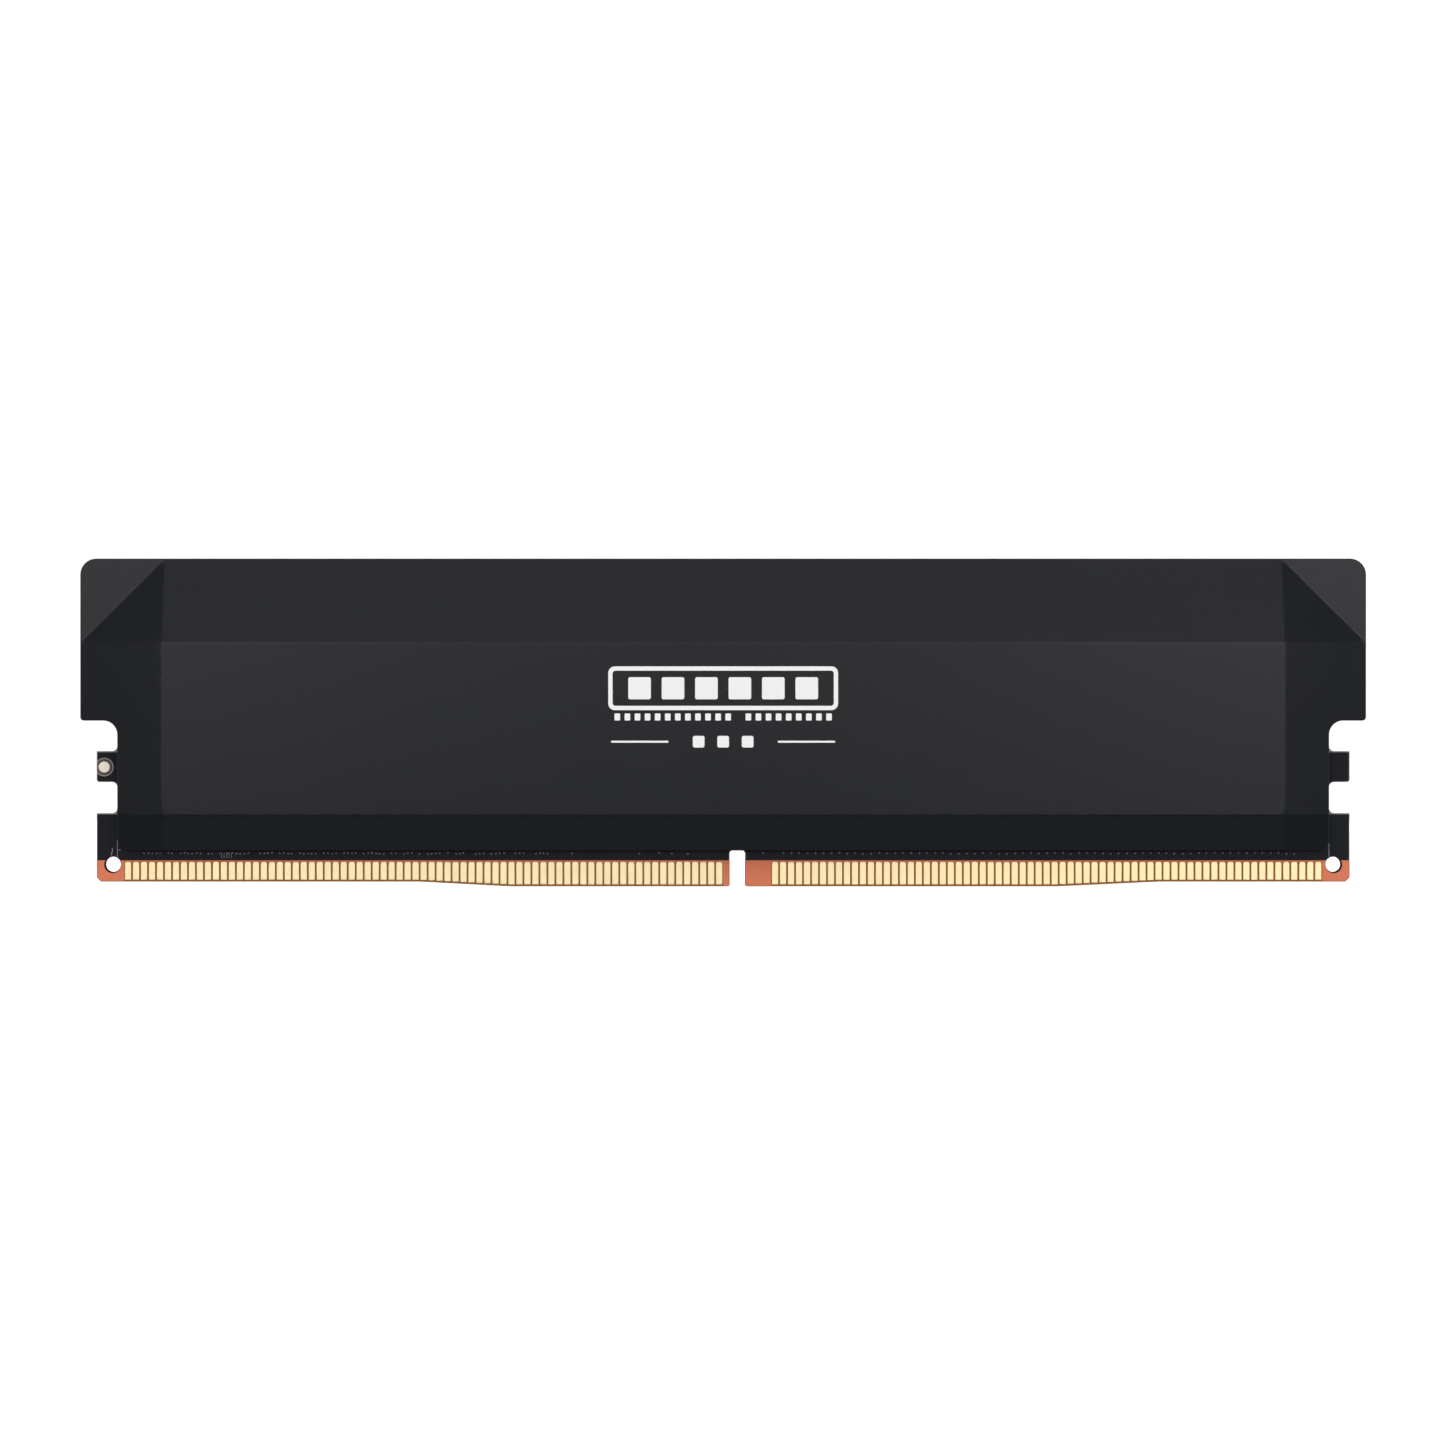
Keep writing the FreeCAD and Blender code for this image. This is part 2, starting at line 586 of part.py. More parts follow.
def top_flange():
    """The flange along the top, which reaches the mid-plane: two dovetails stand on it, and two
    sockets in it take the dovetails of the other spreader."""
    body = new_body("top_flange")
    level = "spreader_top - flange_depth"
    lip = "0 - seam / 2"
    strip = new_sketch(body, "XY_Plane", level)
    sheet_inside = f"{PANEL_INSIDE} - facet_fall"
    add_rectangle(strip, *half("flange_length"), f"0 - ( {sheet_inside} ) - spreader_sheet / 2", lip)
    pad(body, strip, "flange_depth")
    tongues = new_sketch(body, "XY_Plane", level)
    for x in ("0 - tongue_outer", "0 - tongue_inner"):
        add_polygon(tongues, [(f"{x} - tongue_root", "0 - seam * 2"), (f"{x} + tongue_root", "0 - seam * 2"),
                              (f"{x} + tongue_root", lip), (f"{x} + tongue_tip", "tongue_reach"),
                              (f"{x} - tongue_tip", "tongue_reach"), (f"{x} - tongue_root", lip)])
    pad(body, tongues, "flange_depth")
    sockets = new_sketch(body, "XY_Plane", level)
    for x in ("tongue_inner", "tongue_outer"):
        root, tip = "tongue_root + tongue_play", "tongue_tip + tongue_play"
        far = "0 - tongue_reach - tongue_play"
        add_polygon(sockets, [(f"{x} - ( {root} )", "0"), (f"{x} - ( {tip} )", far),
                              (f"{x} + {tip}", far), (f"{x} + {root}", "0")])
    cut_through(body, sockets)
    return body


def heat_spreader(label, face, pressing, outline, flange):
    """One heat spreader: the pressing trimmed to its outline, with its top flange."""
    trimmed = doc.addObject("Part::Common", "trimmed_pressing")
    trimmed.Base, trimmed.Tool = pressing, outline
    whole = doc.addObject("Part::Fuse", label)
    whole.Base, whole.Tool = trimmed, flange
    doc.recompute()
    place(whole, half_turn=face == REAR)
    return whole


def rear_label():
    """A thin blank label on the raised panel of the rear spreader."""
    body = new_body("rear_label")
    outline = new_sketch(body, offset="0 - spreader_face - label_thickness")
    left, right = "label_x - label_length / 2", "label_x + label_length / 2"
    low, high = "label_z - label_height / 2", "label_z + label_height / 2"
    add_rectangle(outline, left, right, low, high)
    pad(body, outline, "label_thickness")
    round_corners(body, [(x, z) for x in (left, right) for z in (low, high)], "label_radius")
    return body


# ---------------------------------------------------------------------------------------------------
# The module, part by part
# ---------------------------------------------------------------------------------------------------

parts = [circuit_board(), alignment_marks()]
for side, face in (("front", FRONT), ("back", REAR)):
    parts += [contacts(f"contacts_{side}_left", face, right=False)]
    parts += [contacts(f"contacts_{side}_right", face, right=True)]
    places = [f"0 - dram_first - dram_pitch * {i}" for i in reversed(range(4))]
    places += [f"dram_first + dram_pitch * {i}" for i in range(4)]
    parts += [memory_package(f"memory_{side}_{i}", face, x) for i, x in enumerate(places, start=1)]
    parts += [decoupling_capacitors(f"decoupling_capacitors_{side}", face)]
    parts += [resistor_arrays(f"resistor_arrays_{side}", face)]
    parts += [memory_thermal_pad(f"thermal_pad_{side}_left", face, right=face == REAR)]
    parts += [memory_thermal_pad(f"thermal_pad_{side}_right", face, right=face == FRONT)]

parts += [flat_chip("power_management_chip", "pmic_side", "pmic_side", "pmic_height", "pmic_x", "pmic_z")]
parts += [flat_chip("sideband_hub_chip", "hub_length", "hub_width", "hub_height", "hub_x", "hub_z")]
parts += [power_inductor(f"power_inductor_{i}", f"coil_pitch * {i - 2}") for i in (1, 2, 3)]
parts += [bulk_capacitors(), power_thermal_pad(), rear_label()]

shared = (pressed_sheet(), spreader_outline(), top_flange())
parts += [heat_spreader("front_spreader", FRONT, *shared), heat_spreader("rear_spreader", REAR, *shared)]

# ---------------------------------------------------------------------------------------------------
# Check everything, then write one file per sub-part
# ---------------------------------------------------------------------------------------------------

doc.recompute()
for thing in doc.Objects:
    if "Invalid" in thing.State or "Error" in thing.State:
        raise RuntimeError(f"{thing.Label}: {thing.State}")
for part in parts:
    if part.Shape.isNull() or not part.Shape.isValid() or not part.Shape.Solids:
        raise RuntimeError(f"{part.Label} is not a sound solid")

os.makedirs("parts", exist_ok=True)
for part in parts:
    part.Shape.exportStep(f"parts/{part.Label}.step")
    box = part.Shape.BoundBox
    print(f"{part.Label:28s} {len(part.Shape.Solids):3d} solids  {part.Shape.Volume:9.2f} mm3  {box}")
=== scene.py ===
"""A desktop memory module: a circuit board with its contacts, chips and thermal pads, between two black
faceted heat spreaders. Sizes are in millimetres until a mesh is made. +X runs along the card edge, +Y
points to the rear and +Z points up; the front of the module faces -Y."""

import math

import bpy
import numpy as np
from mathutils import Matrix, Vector
from mathutils.geometry import delaunay_2d_cdt


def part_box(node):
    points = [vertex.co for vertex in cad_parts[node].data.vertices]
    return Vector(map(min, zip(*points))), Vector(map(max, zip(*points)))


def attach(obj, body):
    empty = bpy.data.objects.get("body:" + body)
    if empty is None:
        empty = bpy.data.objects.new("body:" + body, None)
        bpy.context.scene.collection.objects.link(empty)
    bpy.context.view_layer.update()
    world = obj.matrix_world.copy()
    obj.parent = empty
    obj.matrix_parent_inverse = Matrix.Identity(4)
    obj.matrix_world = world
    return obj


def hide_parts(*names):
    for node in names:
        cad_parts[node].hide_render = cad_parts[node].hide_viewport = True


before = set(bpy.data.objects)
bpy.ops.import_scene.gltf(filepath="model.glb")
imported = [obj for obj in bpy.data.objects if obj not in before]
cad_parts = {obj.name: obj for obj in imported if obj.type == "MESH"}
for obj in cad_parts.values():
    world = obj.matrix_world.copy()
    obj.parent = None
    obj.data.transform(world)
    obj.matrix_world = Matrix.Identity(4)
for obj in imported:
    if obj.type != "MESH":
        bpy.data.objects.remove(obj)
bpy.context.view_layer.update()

# -----------------------------------------------------------------------------------------------------
# Circuit board. A glass-cloth laminate card with dark solder mask on both faces. Its outline, key slot and
# latch notches are routed after the mask is printed, so the cut edges show pale glass fibre, and the mask
# stops above the contacts, where the copper-brown laminate is bare.
# -----------------------------------------------------------------------------------------------------

MM = 0.001
board_low, board_high = (np.array(corner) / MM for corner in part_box("circuit_board"))
BOARD_HALF = board_high[0]
BOARD_TOP = board_high[2]
BOARD_FACE = -board_low[1]
EDGE_STEP = 0.5
RAMPS = [(-32.3, EDGE_STEP), (-22.5, 0.0), (35.3, 0.0), (46.4, EDGE_STEP)]
KEY_X, KEY_WIDTH, KEY_DEPTH = 1.5, 1.6, 3.8
LATCH_DEPTH = 2.2
LATCHES = [(7.8, 11.1), (14.4, 17.64)]
CORNER_CUT = 0.45
RAMP_ROUND, CORNER_ROUND, CUT_ROUND, LEDGE_ROUND, NOTCH_ROUND = 3.0, 0.3, 0.1, 0.08, 0.55
HOLE_X, HOLE_Z, HOLE_RADIUS = 64.9, 2.35, 0.8
HOLE_SHADE_SHIFT, HOLE_SHADE_WIDTH = (0.07, -0.04), 0.1
LEDGE_HIGHLIGHT_BELOW, LEDGE_HIGHLIGHT_ABOVE = 0.13, 0.2
MASK_END = 2.77
MARK_X, MARK_Z, MARK_RADIUS = -65.85, 12.7, 0.6
MARK_CLEARING = 0.98
PIN_PITCH = 0.85
PIN_FIRST = -63.325
PINS_LEFT, PINS_RIGHT, PINS_MISSING = 75, 69, 6
PIN_ROWS = {"left": (PIN_FIRST, PINS_LEFT),
            "right": (PIN_FIRST + (PINS_LEFT + PINS_MISSING) * PIN_PITCH, PINS_RIGHT)}
PIN_TOP = 2.62
DARKER_PAST_PIN = 0.42


def unit(vectors):
    """Each vector divided by its length."""
    return vectors / np.linalg.norm(vectors, axis=-1, keepdims=True)


def rounded(corners, step=1000.0, arc_steps=6):
    """A closed path through corners (u, v, radius). Each corner becomes the arc of that radius that touches
    both of its sides: start + r sin(a) along the first side + r (1 - cos(a)) square to it, for a from zero
    to the turn. Straight runs longer than the step are then cut into equal parts."""
    arcs = []
    corners = np.array(corners, float)
    for before, corner, after in zip(np.roll(corners, 1, 0), corners, np.roll(corners, -1, 0)):
        arrive = unit(corner[:2] - before[:2])
        leave = unit(after[:2] - corner[:2])
        turn = math.atan2(arrive[0] * leave[1] - arrive[1] * leave[0], arrive @ leave)
        start = corner[:2] - arrive * corner[2] * math.tan(abs(turn) / 2)
        square = np.array([-arrive[1], arrive[0]]) * math.copysign(corner[2], turn)
        angle = np.linspace(0, abs(turn), arc_steps + 1)
        arcs.append(start + np.outer(np.sin(angle) * corner[2], arrive) + np.outer(1 - np.cos(angle), square))
    path = np.concatenate(arcs)
    run = np.roll(path, -1, 0) - path
    cuts = np.maximum(1, np.ceil(np.hypot(*run.T) / step)).astype(int)
    along = (np.arange(cuts.sum()) - np.repeat(np.cumsum(cuts) - cuts, cuts)) / np.repeat(cuts, cuts)
    return np.repeat(path, cuts, 0) + along[:, None] * np.repeat(run, cuts, 0)


def circle(u, v, radius, points=32, clockwise=False):
    """A closed round path: centre + radius (cos a, sin a). A hole in a slab runs clockwise."""
    angle = np.arange(points) * (-2 if clockwise else 2) * math.pi / points
    return np.stack([u + radius * np.cos(angle), v + radius * np.sin(angle)], 1)


def soft_edge(thickness, radius, back_radius=None, steps=3, guard=0.02):
    """The section of a slab's edge, from its front face to its back face, as rows of (inset, depth): a guard
    row that keeps the face flat, a quarter round r (1 - sin a, 1 - cos a), the wall, and the same again."""
    angle = np.linspace(0, math.pi / 2, steps + 1)
    quarter = np.stack([1 - np.sin(angle), 1 - np.cos(angle)], 1)
    back_radius = radius if back_radius is None else back_radius
    inset = max(radius, back_radius) + guard
    back = (quarter * back_radius)[::-1] * (1, -1) + (0, thickness)
    return np.vstack([[inset, 0], quarter * radius, back, [inset, thickness]])


def fill(loops, inside):
    """Triangles between closed loops and through loose points (a constrained Delaunay triangulation), kept
    where a ray crosses the loops an odd number of times. Returns the extra points, and the triangles as
    indices into the loops' points followed by those extra points."""
    border = np.concatenate(loops)
    given = np.concatenate([border, inside]) if len(inside) else border
    starts = np.cumsum([0] + [len(loop) for loop in loops])
    after = np.concatenate([np.roll(np.arange(a, b), -1) for a, b in zip(starts, starts[1:])])
    edges = np.stack([np.arange(len(border)), after], 1)
    found = delaunay_2d_cdt([Vector(p) for p in given], edges.tolist(), [], 0, 1e-5)
    points = np.array([p[:] for p in found[0]])
    triangles = np.array(found[2])
    middle = points[triangles].mean(1)
    a, b = border, border[after]
    spans = (a[:, 1] > middle[:, 1:]) != (b[:, 1] > middle[:, 1:])
    rise = np.where(b[:, 1] == a[:, 1], 1.0, b[:, 1] - a[:, 1])
    crossing = a[:, 0] + (middle[:, 1:] - a[:, 1]) / rise * (b[:, 0] - a[:, 0])
    kept = (spans & (crossing > middle[:, :1])).sum(1) % 2 == 1
    place = np.array([sources[0] if sources else -1 for sources in found[3]])
    extra = (place < 0) | (place >= len(border))
    place[extra] = len(border) + np.arange(extra.sum())
    return points[extra], place[triangles[kept]]


def slab(loops, section, relief=None, inside=(), hole_section=None):
    """A closed slab: its section is carried along each loop, with the material on the loop's left, and both
    faces are filled. Holes may have a section of their own with as many rows. The relief gives how far the
    whole slab is set back at (u, v). Returns the points as (u, v, depth), the faces, and how far each point
    is round the edge, from 0 on the faces to 1."""
    hole_section = section if hole_section is None else hole_section
    rings, quads, turned, base = [], [], [], 0
    for loop in loops:
        x, y = loop.T
        runs_left = (x * np.roll(y, -1) - y * np.roll(x, -1)).sum() > 0
        rows = section if runs_left else hole_section
        ahead = unit(np.roll(loop, -1, 0) - loop)
        behind = np.roll(ahead, 1, 0)
        mitre = (behind + ahead) / (1 + (behind * ahead).sum(1, keepdims=True))
        inward = np.stack([-mitre[:, 1], mitre[:, 0]], 1)
        across = loop[None] + rows[:, None, :1] * inward[None]
        depth = np.broadcast_to(rows[:, None, 1:], across.shape[:2] + (1,))
        rings.append(np.concatenate([across, depth], 2))
        index = base + np.arange(len(rows) * len(loop)).reshape(len(rows), len(loop))
        here, there = index[:-1], index[1:]
        quads.append(np.stack([here, there, np.roll(there, -1, 1), np.roll(here, -1, 1)], 2).reshape(-1, 4))
        turned.append(np.repeat(np.clip(1 - rows[:, 0] / rows[:, 0].max(), 0, 1), len(loop)))
        base += index.size
    extra, triangles = fill([ring[0, :, :2] for ring in rings], inside)
    lasts = np.cumsum([ring.shape[0] * ring.shape[1] for ring in rings])
    firsts = np.roll(lasts, 1)
    firsts[0] = 0
    front = [first + np.arange(ring.shape[1]) for first, ring in zip(firsts, rings)]
    back = [last - ring.shape[1] + np.arange(ring.shape[1]) for last, ring in zip(lasts, rings)]
    front = np.concatenate([*front, base + np.arange(len(extra))])
    back = np.concatenate([*back, base + len(extra) + np.arange(len(extra))])
    faces = [front[triangles], back[triangles[:, ::-1]], np.concatenate(quads)]
    loose = [np.insert(extra, 2, depth, 1) for depth in (section[0, 1], section[-1, 1])]
    points = np.concatenate([ring.reshape(-1, 3) for ring in rings] + loose)
    if relief:
        points[:, 2] += relief(points[:, 0], points[:, 1])
    return points, faces, np.concatenate(turned + [np.zeros(2 * len(extra))])


def upright(points, front):
    """Slab points (u, v, depth) stood up to face the front: u is X, v is Z, and depth runs back from a Y."""
    return np.stack([points[:, 0], front + points[:, 2], points[:, 1]], 1)


def piece(name, points, faces, finish, replaces=(), turned=None, crease=40):
    """A new object of the module from points in millimetres. It rides with the module's one body."""
    mesh = bpy.data.meshes.new(name)
    mesh.from_pydata((points * MM).tolist(), [], [face for group in faces for face in group.tolist()])
    mesh.shade_smooth()
    mesh.set_sharp_from_angle(angle=math.radians(crease))
    if turned is not None:
        mesh.attributes.new("turned", "FLOAT", "POINT").data.foreach_set("value", turned.astype(np.float32))
    made = bpy.data.objects.new(name, mesh)
    bpy.context.scene.collection.objects.link(made)
    made.data.materials.append(finish)
    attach(made, "root")
    if replaces:
        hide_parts(*replaces)
    return made


class Value:
    """A number that changes over a surface: a shader socket that can be used in sums."""

    def __init__(self, finish, socket):
        self.finish = finish
        self.socket = socket

    def maths(self, operation, first, second=0.0):
        return self.finish.node("Math", {"operation": operation}, {0: first, 1: second})

    def __add__(self, other):
        return self.maths("ADD", self, other)

    def __sub__(self, other):
        return self.maths("SUBTRACT", self, other)

    def __rsub__(self, other):
        return self.maths("SUBTRACT", other, self)

    def __mul__(self, other):
        return self.maths("MULTIPLY", self, other)

    def __truediv__(self, other):
        return self.maths("DIVIDE", self, other)

    def __abs__(self):
        return self.maths("ABSOLUTE", self)

    def __pow__(self, other):
        return self.maths("POWER", self, other)

    def larger(self, other):
        return self.maths("MAXIMUM", self, other)

    def smaller(self, other):
        return self.maths("MINIMUM", self, other)

    def wrapped(self, period):
        """How far into its period the value is, from 0 to 1."""
        return self.maths("FRACT", self / period)

    __radd__ = __add__
    __rmul__ = __mul__


class Nodes:
    """A node tree under construction."""

    def __init__(self, tree):
        self.tree = tree

    def connect(self, socket, value):
        """Links a varying value to a socket, or puts a constant on it."""
        if isinstance(value, Value):
            self.tree.links.new(value.socket, socket)
        elif isinstance(value, tuple) and len(value) == 3 and socket.type == "RGBA":
            socket.default_value = (*value, 1)
        else:
            socket.default_value = value

    def node(self, kind, settings=None, inputs=None, output=0):
        """One shader node: its settings first, then the values or links of its sockets."""
        made = self.tree.nodes.new("ShaderNode" + kind)
        for name, value in (settings or {}).items():
            setattr(made, name, value)
        for name, value in (inputs or {}).items():
            self.connect(made.inputs[name], value)
        return Value(self, made.outputs[output] if made.outputs else None)

    def mix(self, amount, first, second):
        """One colour turning into another as the amount goes from 0 to 1."""
        return self.node("Mix", {"data_type": "RGBA"}, {0: amount, 6: first, 7: second}, output=2)

    def step(self, value, edge, softness):
        """0 below the edge and 1 above it, with a soft change between."""
        limits = {"From Min": edge - softness / 2, "From Max": edge + softness / 2}
        return self.node("MapRange", {"interpolation_type": "SMOOTHSTEP"}, {"Value": value, **limits})


class Finish(Nodes):
    """A material under construction: one Principled shader and the nodes that feed it."""

    def __init__(self, name, **constants):
        self.material = bpy.data.materials.new(name)
        self.material.use_nodes = True
        super().__init__(self.material.node_tree)
        self.shader = self.tree.nodes["Principled BSDF"]
        self.set(**constants)
        self.at = self.node("TexCoord", output="Object")
        metres = (self.node("SeparateXYZ", inputs={0: self.at}, output=i) for i in range(3))
        self.x, self.y, self.z = (part / MM for part in metres)

    def set(self, **sockets):
        """Puts a constant or a varying value on the shader's own sockets: base_color is Base Color."""
        for name, value in sockets.items():
            self.connect(self.shader.inputs[name.replace("_", " ").title().replace("Ior", "IOR")], value)
        return self.material

    def noise(self, size, detail=2.0, roughness=0.5, at=None):
        """Soft random variation, about 0 to 1, whose features are about this many millimetres across."""
        settings = {"Scale": 1 / (size * MM), "Detail": detail, "Roughness": roughness}
        return self.node("TexNoise", inputs={"Vector": at or self.at, **settings})

    def stretched(self, x, y, z):
        """Object coordinates scaled by a factor along each axis, for noise that is drawn out."""
        return self.node("Mapping", inputs={"Vector": self.at, "Scale": (x, y, z)})

    def attribute(self, name):
        """The piece's own attribute of that name."""
        return self.node("Attribute", {"attribute_name": name}, output="Fac")

    def bump(self, height, depth, strength=1.0):
        """A height of 0 to 1 as relief of this many millimetres."""
        return self.node("Bump", inputs={"Height": height, "Distance": depth * MM, "Strength": strength})


def card_edge(x):
    """Z of the lower edge of the board at X: raised ends, two ramps and a lower middle."""
    places, levels = zip(*RAMPS)
    return np.interp(x, places, levels)


def board_outline():
    """The card's outline, anticlockwise from the lower left."""
    key_left, key_right = KEY_X - KEY_WIDTH / 2, KEY_X + KEY_WIDTH / 2
    ramps = [(x, z, RAMP_ROUND) for x, z in RAMPS]
    key = [(x, z, CORNER_ROUND) for x, z in ((key_left, 0), (key_left, KEY_DEPTH),
                                             (key_right, KEY_DEPTH), (key_right, 0))]
    bottom = [(-BOARD_HALF + CORNER_CUT, EDGE_STEP, CUT_ROUND), *ramps[:2], *key, *ramps[2:],
              (BOARD_HALF - CORNER_CUT, EDGE_STEP, CUT_ROUND)]
    inner = BOARD_HALF - LATCH_DEPTH
    notches = [[(BOARD_HALF, low, LEDGE_ROUND), (inner, low, NOTCH_ROUND),
                (inner, high, NOTCH_ROUND), (BOARD_HALF, high, CORNER_ROUND)] for low, high in LATCHES]
    side = [(BOARD_HALF, EDGE_STEP + CORNER_CUT, CUT_ROUND), *notches[0], *notches[1],
            (BOARD_HALF, BOARD_TOP, CORNER_ROUND)]
    return rounded(bottom + side + [(-x, z, radius) for x, z, radius in reversed(side)])


def distance(finish, x, z, mirrored=False):
    """How far the surface is from a line along Y through (X, Z), or also through (-X, Z)."""
    across = abs(finish.x) - x if mirrored else finish.x - x
    up = finish.z - z
    return (across * across + up * up) ** 0.5


def laminate():
    """Solder mask above, bare laminate below, and glass fibre on the routed edge. The mask swells a little
    over the buried traces that lead down to the contacts, and it is opened around the alignment mark. The
    laminate is a darker brown between the contacts. Round each tooling hole a dark crescent is painted shade
    of the hole's wall, and along the top of each ledge below a latch notch a pale band is a painted
    highlight."""
    finish = Finish("board_laminate", specular_ior_level=0.14)
    cloud = finish.noise(6.0, 3.0)
    grain = finish.noise(0.25, 3.0, 0.6)
    mask = finish.mix(cloud, (0.0050, 0.0066, 0.0105), (0.0078, 0.0095, 0.0140))
    bare = finish.mix(grain, (0.67, 0.180, 0.096), (0.80, 0.238, 0.132))
    brown = finish.mix(grain, (0.25, 0.095, 0.016), (0.36, 0.155, 0.036))
    # The laminate is a darker brown between the contacts and a little past each row's ends, below the
    # contacts' tops.
    darker_between_pins = 0
    for first, count in PIN_ROWS.values():
        half = PIN_PITCH * (count - 1) / 2
        from_end = half + DARKER_PAST_PIN - abs(finish.x - (first + half))
        darker_between_pins = finish.step(from_end, 0.0, 0.04) + darker_between_pins
    darker_between_pins = darker_between_pins * (1 - finish.step(finish.z, PIN_TOP - 0.06, 0.06))
    bare = finish.mix(darker_between_pins, bare, brown)
    from_mark = distance(finish, MARK_X, MARK_Z)
    ringed = 1 - finish.step(from_mark, MARK_CLEARING, 0.05)
    arc = finish.step(from_mark, MARK_CLEARING - 0.1, 0.06)
    ring = finish.mix(grain, (0.075, 0.056, 0.050), (0.15, 0.115, 0.105))
    ring = finish.mix(arc, ring, (0.36, 0.35, 0.33))
    lower = 1 - finish.step(finish.z, MASK_END, 0.05)
    edge = finish.step(finish.attribute("turned"), 0.2, 0.2)
    layers = finish.noise(1 / 0.9, 3.0, at=finish.stretched(0.3, 12, 0.3))
    fibre = finish.mix(layers, (0.22, 0.23, 0.20), (0.50, 0.50, 0.46))
    # Painted highlight: a pale fibre-coloured band along the top of each ledge below a latch notch, as if its
    # top face caught light from above.
    ledge_highlight = sum(finish.step(finish.z, ledge - LEDGE_HIGHLIGHT_BELOW, 0.05)
                 * (1 - finish.step(finish.z, ledge + LEDGE_HIGHLIGHT_ABOVE, 0.05)) for ledge, _ in LATCHES)
    ledge_highlight = ledge_highlight * finish.step(abs(finish.x), BOARD_HALF - LATCH_DEPTH, 0.05)
    colour = finish.mix(lower, mask, bare)
    colour = finish.mix(ringed, colour, ring)
    colour = finish.mix(ledge_highlight * 0.8, colour, fibre)
    colour = finish.mix(edge, colour, finish.mix(lower, fibre, finish.mix(layers, brown, (0.34, 0.20, 0.10))))
    # Painted shade: a dark ring round each tooling hole, widest on its outer, lower side, stands for the
    # shade of the hole's wall.
    from_hole = distance(finish, HOLE_X + HOLE_SHADE_SHIFT[0], HOLE_Z + HOLE_SHADE_SHIFT[1], mirrored=True)
    painted_hole_shade = 1 - finish.step(from_hole, HOLE_RADIUS + HOLE_SHADE_WIDTH, 0.03)
    colour = finish.mix(painted_hole_shade, colour, (0.012, 0.008, 0.006))
    traces = finish.step(abs((finish.x - PIN_FIRST).wrapped(PIN_PITCH) - 0.5), 0.23, 0.12)
    open_mask = lower.larger(ringed).larger(edge)
    height = traces * (1 - open_mask) * 0.6 + grain * 0.12 + open_mask * layers * 0.25
    rough = 0.32 + open_mask * 0.26 + grain * 0.08
    return finish.set(base_color=colour, roughness=rough, normal=finish.bump(height, 0.02, 0.5))


holes = [circle(side * HOLE_X, HOLE_Z, HOLE_RADIUS, clockwise=True) for side in (-1, 1)]
points, faces, turned = slab([board_outline(), *holes], soft_edge(2 * BOARD_FACE, 0.08),
                             hole_section=soft_edge(2 * BOARD_FACE, 0.03))
piece("circuit_card", upright(points, -BOARD_FACE), faces, laminate(), ["circuit_board"], turned)

# -----------------------------------------------------------------------------------------------------
# Contacts. Strips of copper plated with nickel and hard gold, on both faces, which the socket's springs wipe.
# They are etched with the board's copper, so they stand barely proud, with soft corners at the top, and
# they stop just short of the card edge, which they follow along its ramps.
# -----------------------------------------------------------------------------------------------------

PIN_WIDTH, PIN_GAP = 0.66, 0.2
PLATING = 0.04


def gold():
    """Hard gold over nickel: satin, faintly streaked along the way the socket wipes it."""
    finish = Finish("hard_gold", metallic=1.0)
    streaks = finish.noise(0.12, 3.0, 0.6, at=finish.stretched(1, 1, 0.12))
    patches = finish.noise(1.6, 2.0)
    colour = finish.mix(patches, (1.0, 0.80, 0.46), (1.0, 0.86, 0.54))
    colour = finish.mix(finish.step(finish.z, 1.2, 2.4) * 0.25, colour, (0.98, 0.76, 0.40))
    rough = 0.26 + streaks * 0.1
    return finish.set(base_color=colour, roughness=rough, normal=finish.bump(streaks, 0.004, 0.4))


def to_rear(points):
    """Half a turn about Z, which brings a piece of the front to the rear."""
    return points * (-1, -1, 1)


def repeated(faces, size, count):
    """The faces of one shape of so many points, for each of its copies in turn."""
    firsts = size * np.arange(count)[:, None, None]
    return [(group[None] + firsts).reshape(-1, group.shape[1]) for group in faces]


def contact_row(count, first):
    """One contact repeated along the card edge. Its lower end is lifted by the height of the edge there."""
    corners = [(-PIN_WIDTH / 2, PIN_GAP, 0.03), (PIN_WIDTH / 2, PIN_GAP, 0.03),
               (PIN_WIDTH / 2, PIN_TOP, 0.2), (-PIN_WIDTH / 2, PIN_TOP, 0.2)]
    one, faces, _ = slab([rounded(corners, arc_steps=2)], soft_edge(PLATING, 0.03, 0.0, steps=2, guard=0.01))
    place = first + PIN_PITCH * np.arange(count)
    lift = np.where(one[None, :, 1] < PIN_TOP / 2, card_edge(place)[:, None], 0)
    shift = np.stack([np.repeat(place[:, None], len(one), 1), lift, np.zeros_like(lift)], 2)
    return (one[None] + shift).reshape(-1, 3), repeated(faces, len(one), count)


gold_finish = gold()
for hand, (first, count) in PIN_ROWS.items():
    points, faces = contact_row(count, first)
    front = upright(points, -BOARD_FACE - PLATING)
    piece(f"gold_contacts_front_{hand}", front, faces, gold_finish, [f"contacts_front_{hand}"])
    mirror_row, mirror_faces = contact_row(count, -first - PIN_PITCH * (count - 1))
    mirror_row[:, 1] += np.where(mirror_row[:, 1] < PIN_TOP / 2,
                                 card_edge(-mirror_row[:, 0]) - card_edge(mirror_row[:, 0]), 0)
    back = to_rear(upright(mirror_row, -BOARD_FACE - PLATING))
    piece(f"gold_contacts_back_{hand}", back, mirror_faces, gold_finish, [f"contacts_back_{hand}"])

# -----------------------------------------------------------------------------------------------------
# Alignment marks. A bare gold-plated copper disc on the left tab of each face, which placement machines look
# for. It is part of the board's copper, and the mask is opened in a ring around it.
# -----------------------------------------------------------------------------------------------------


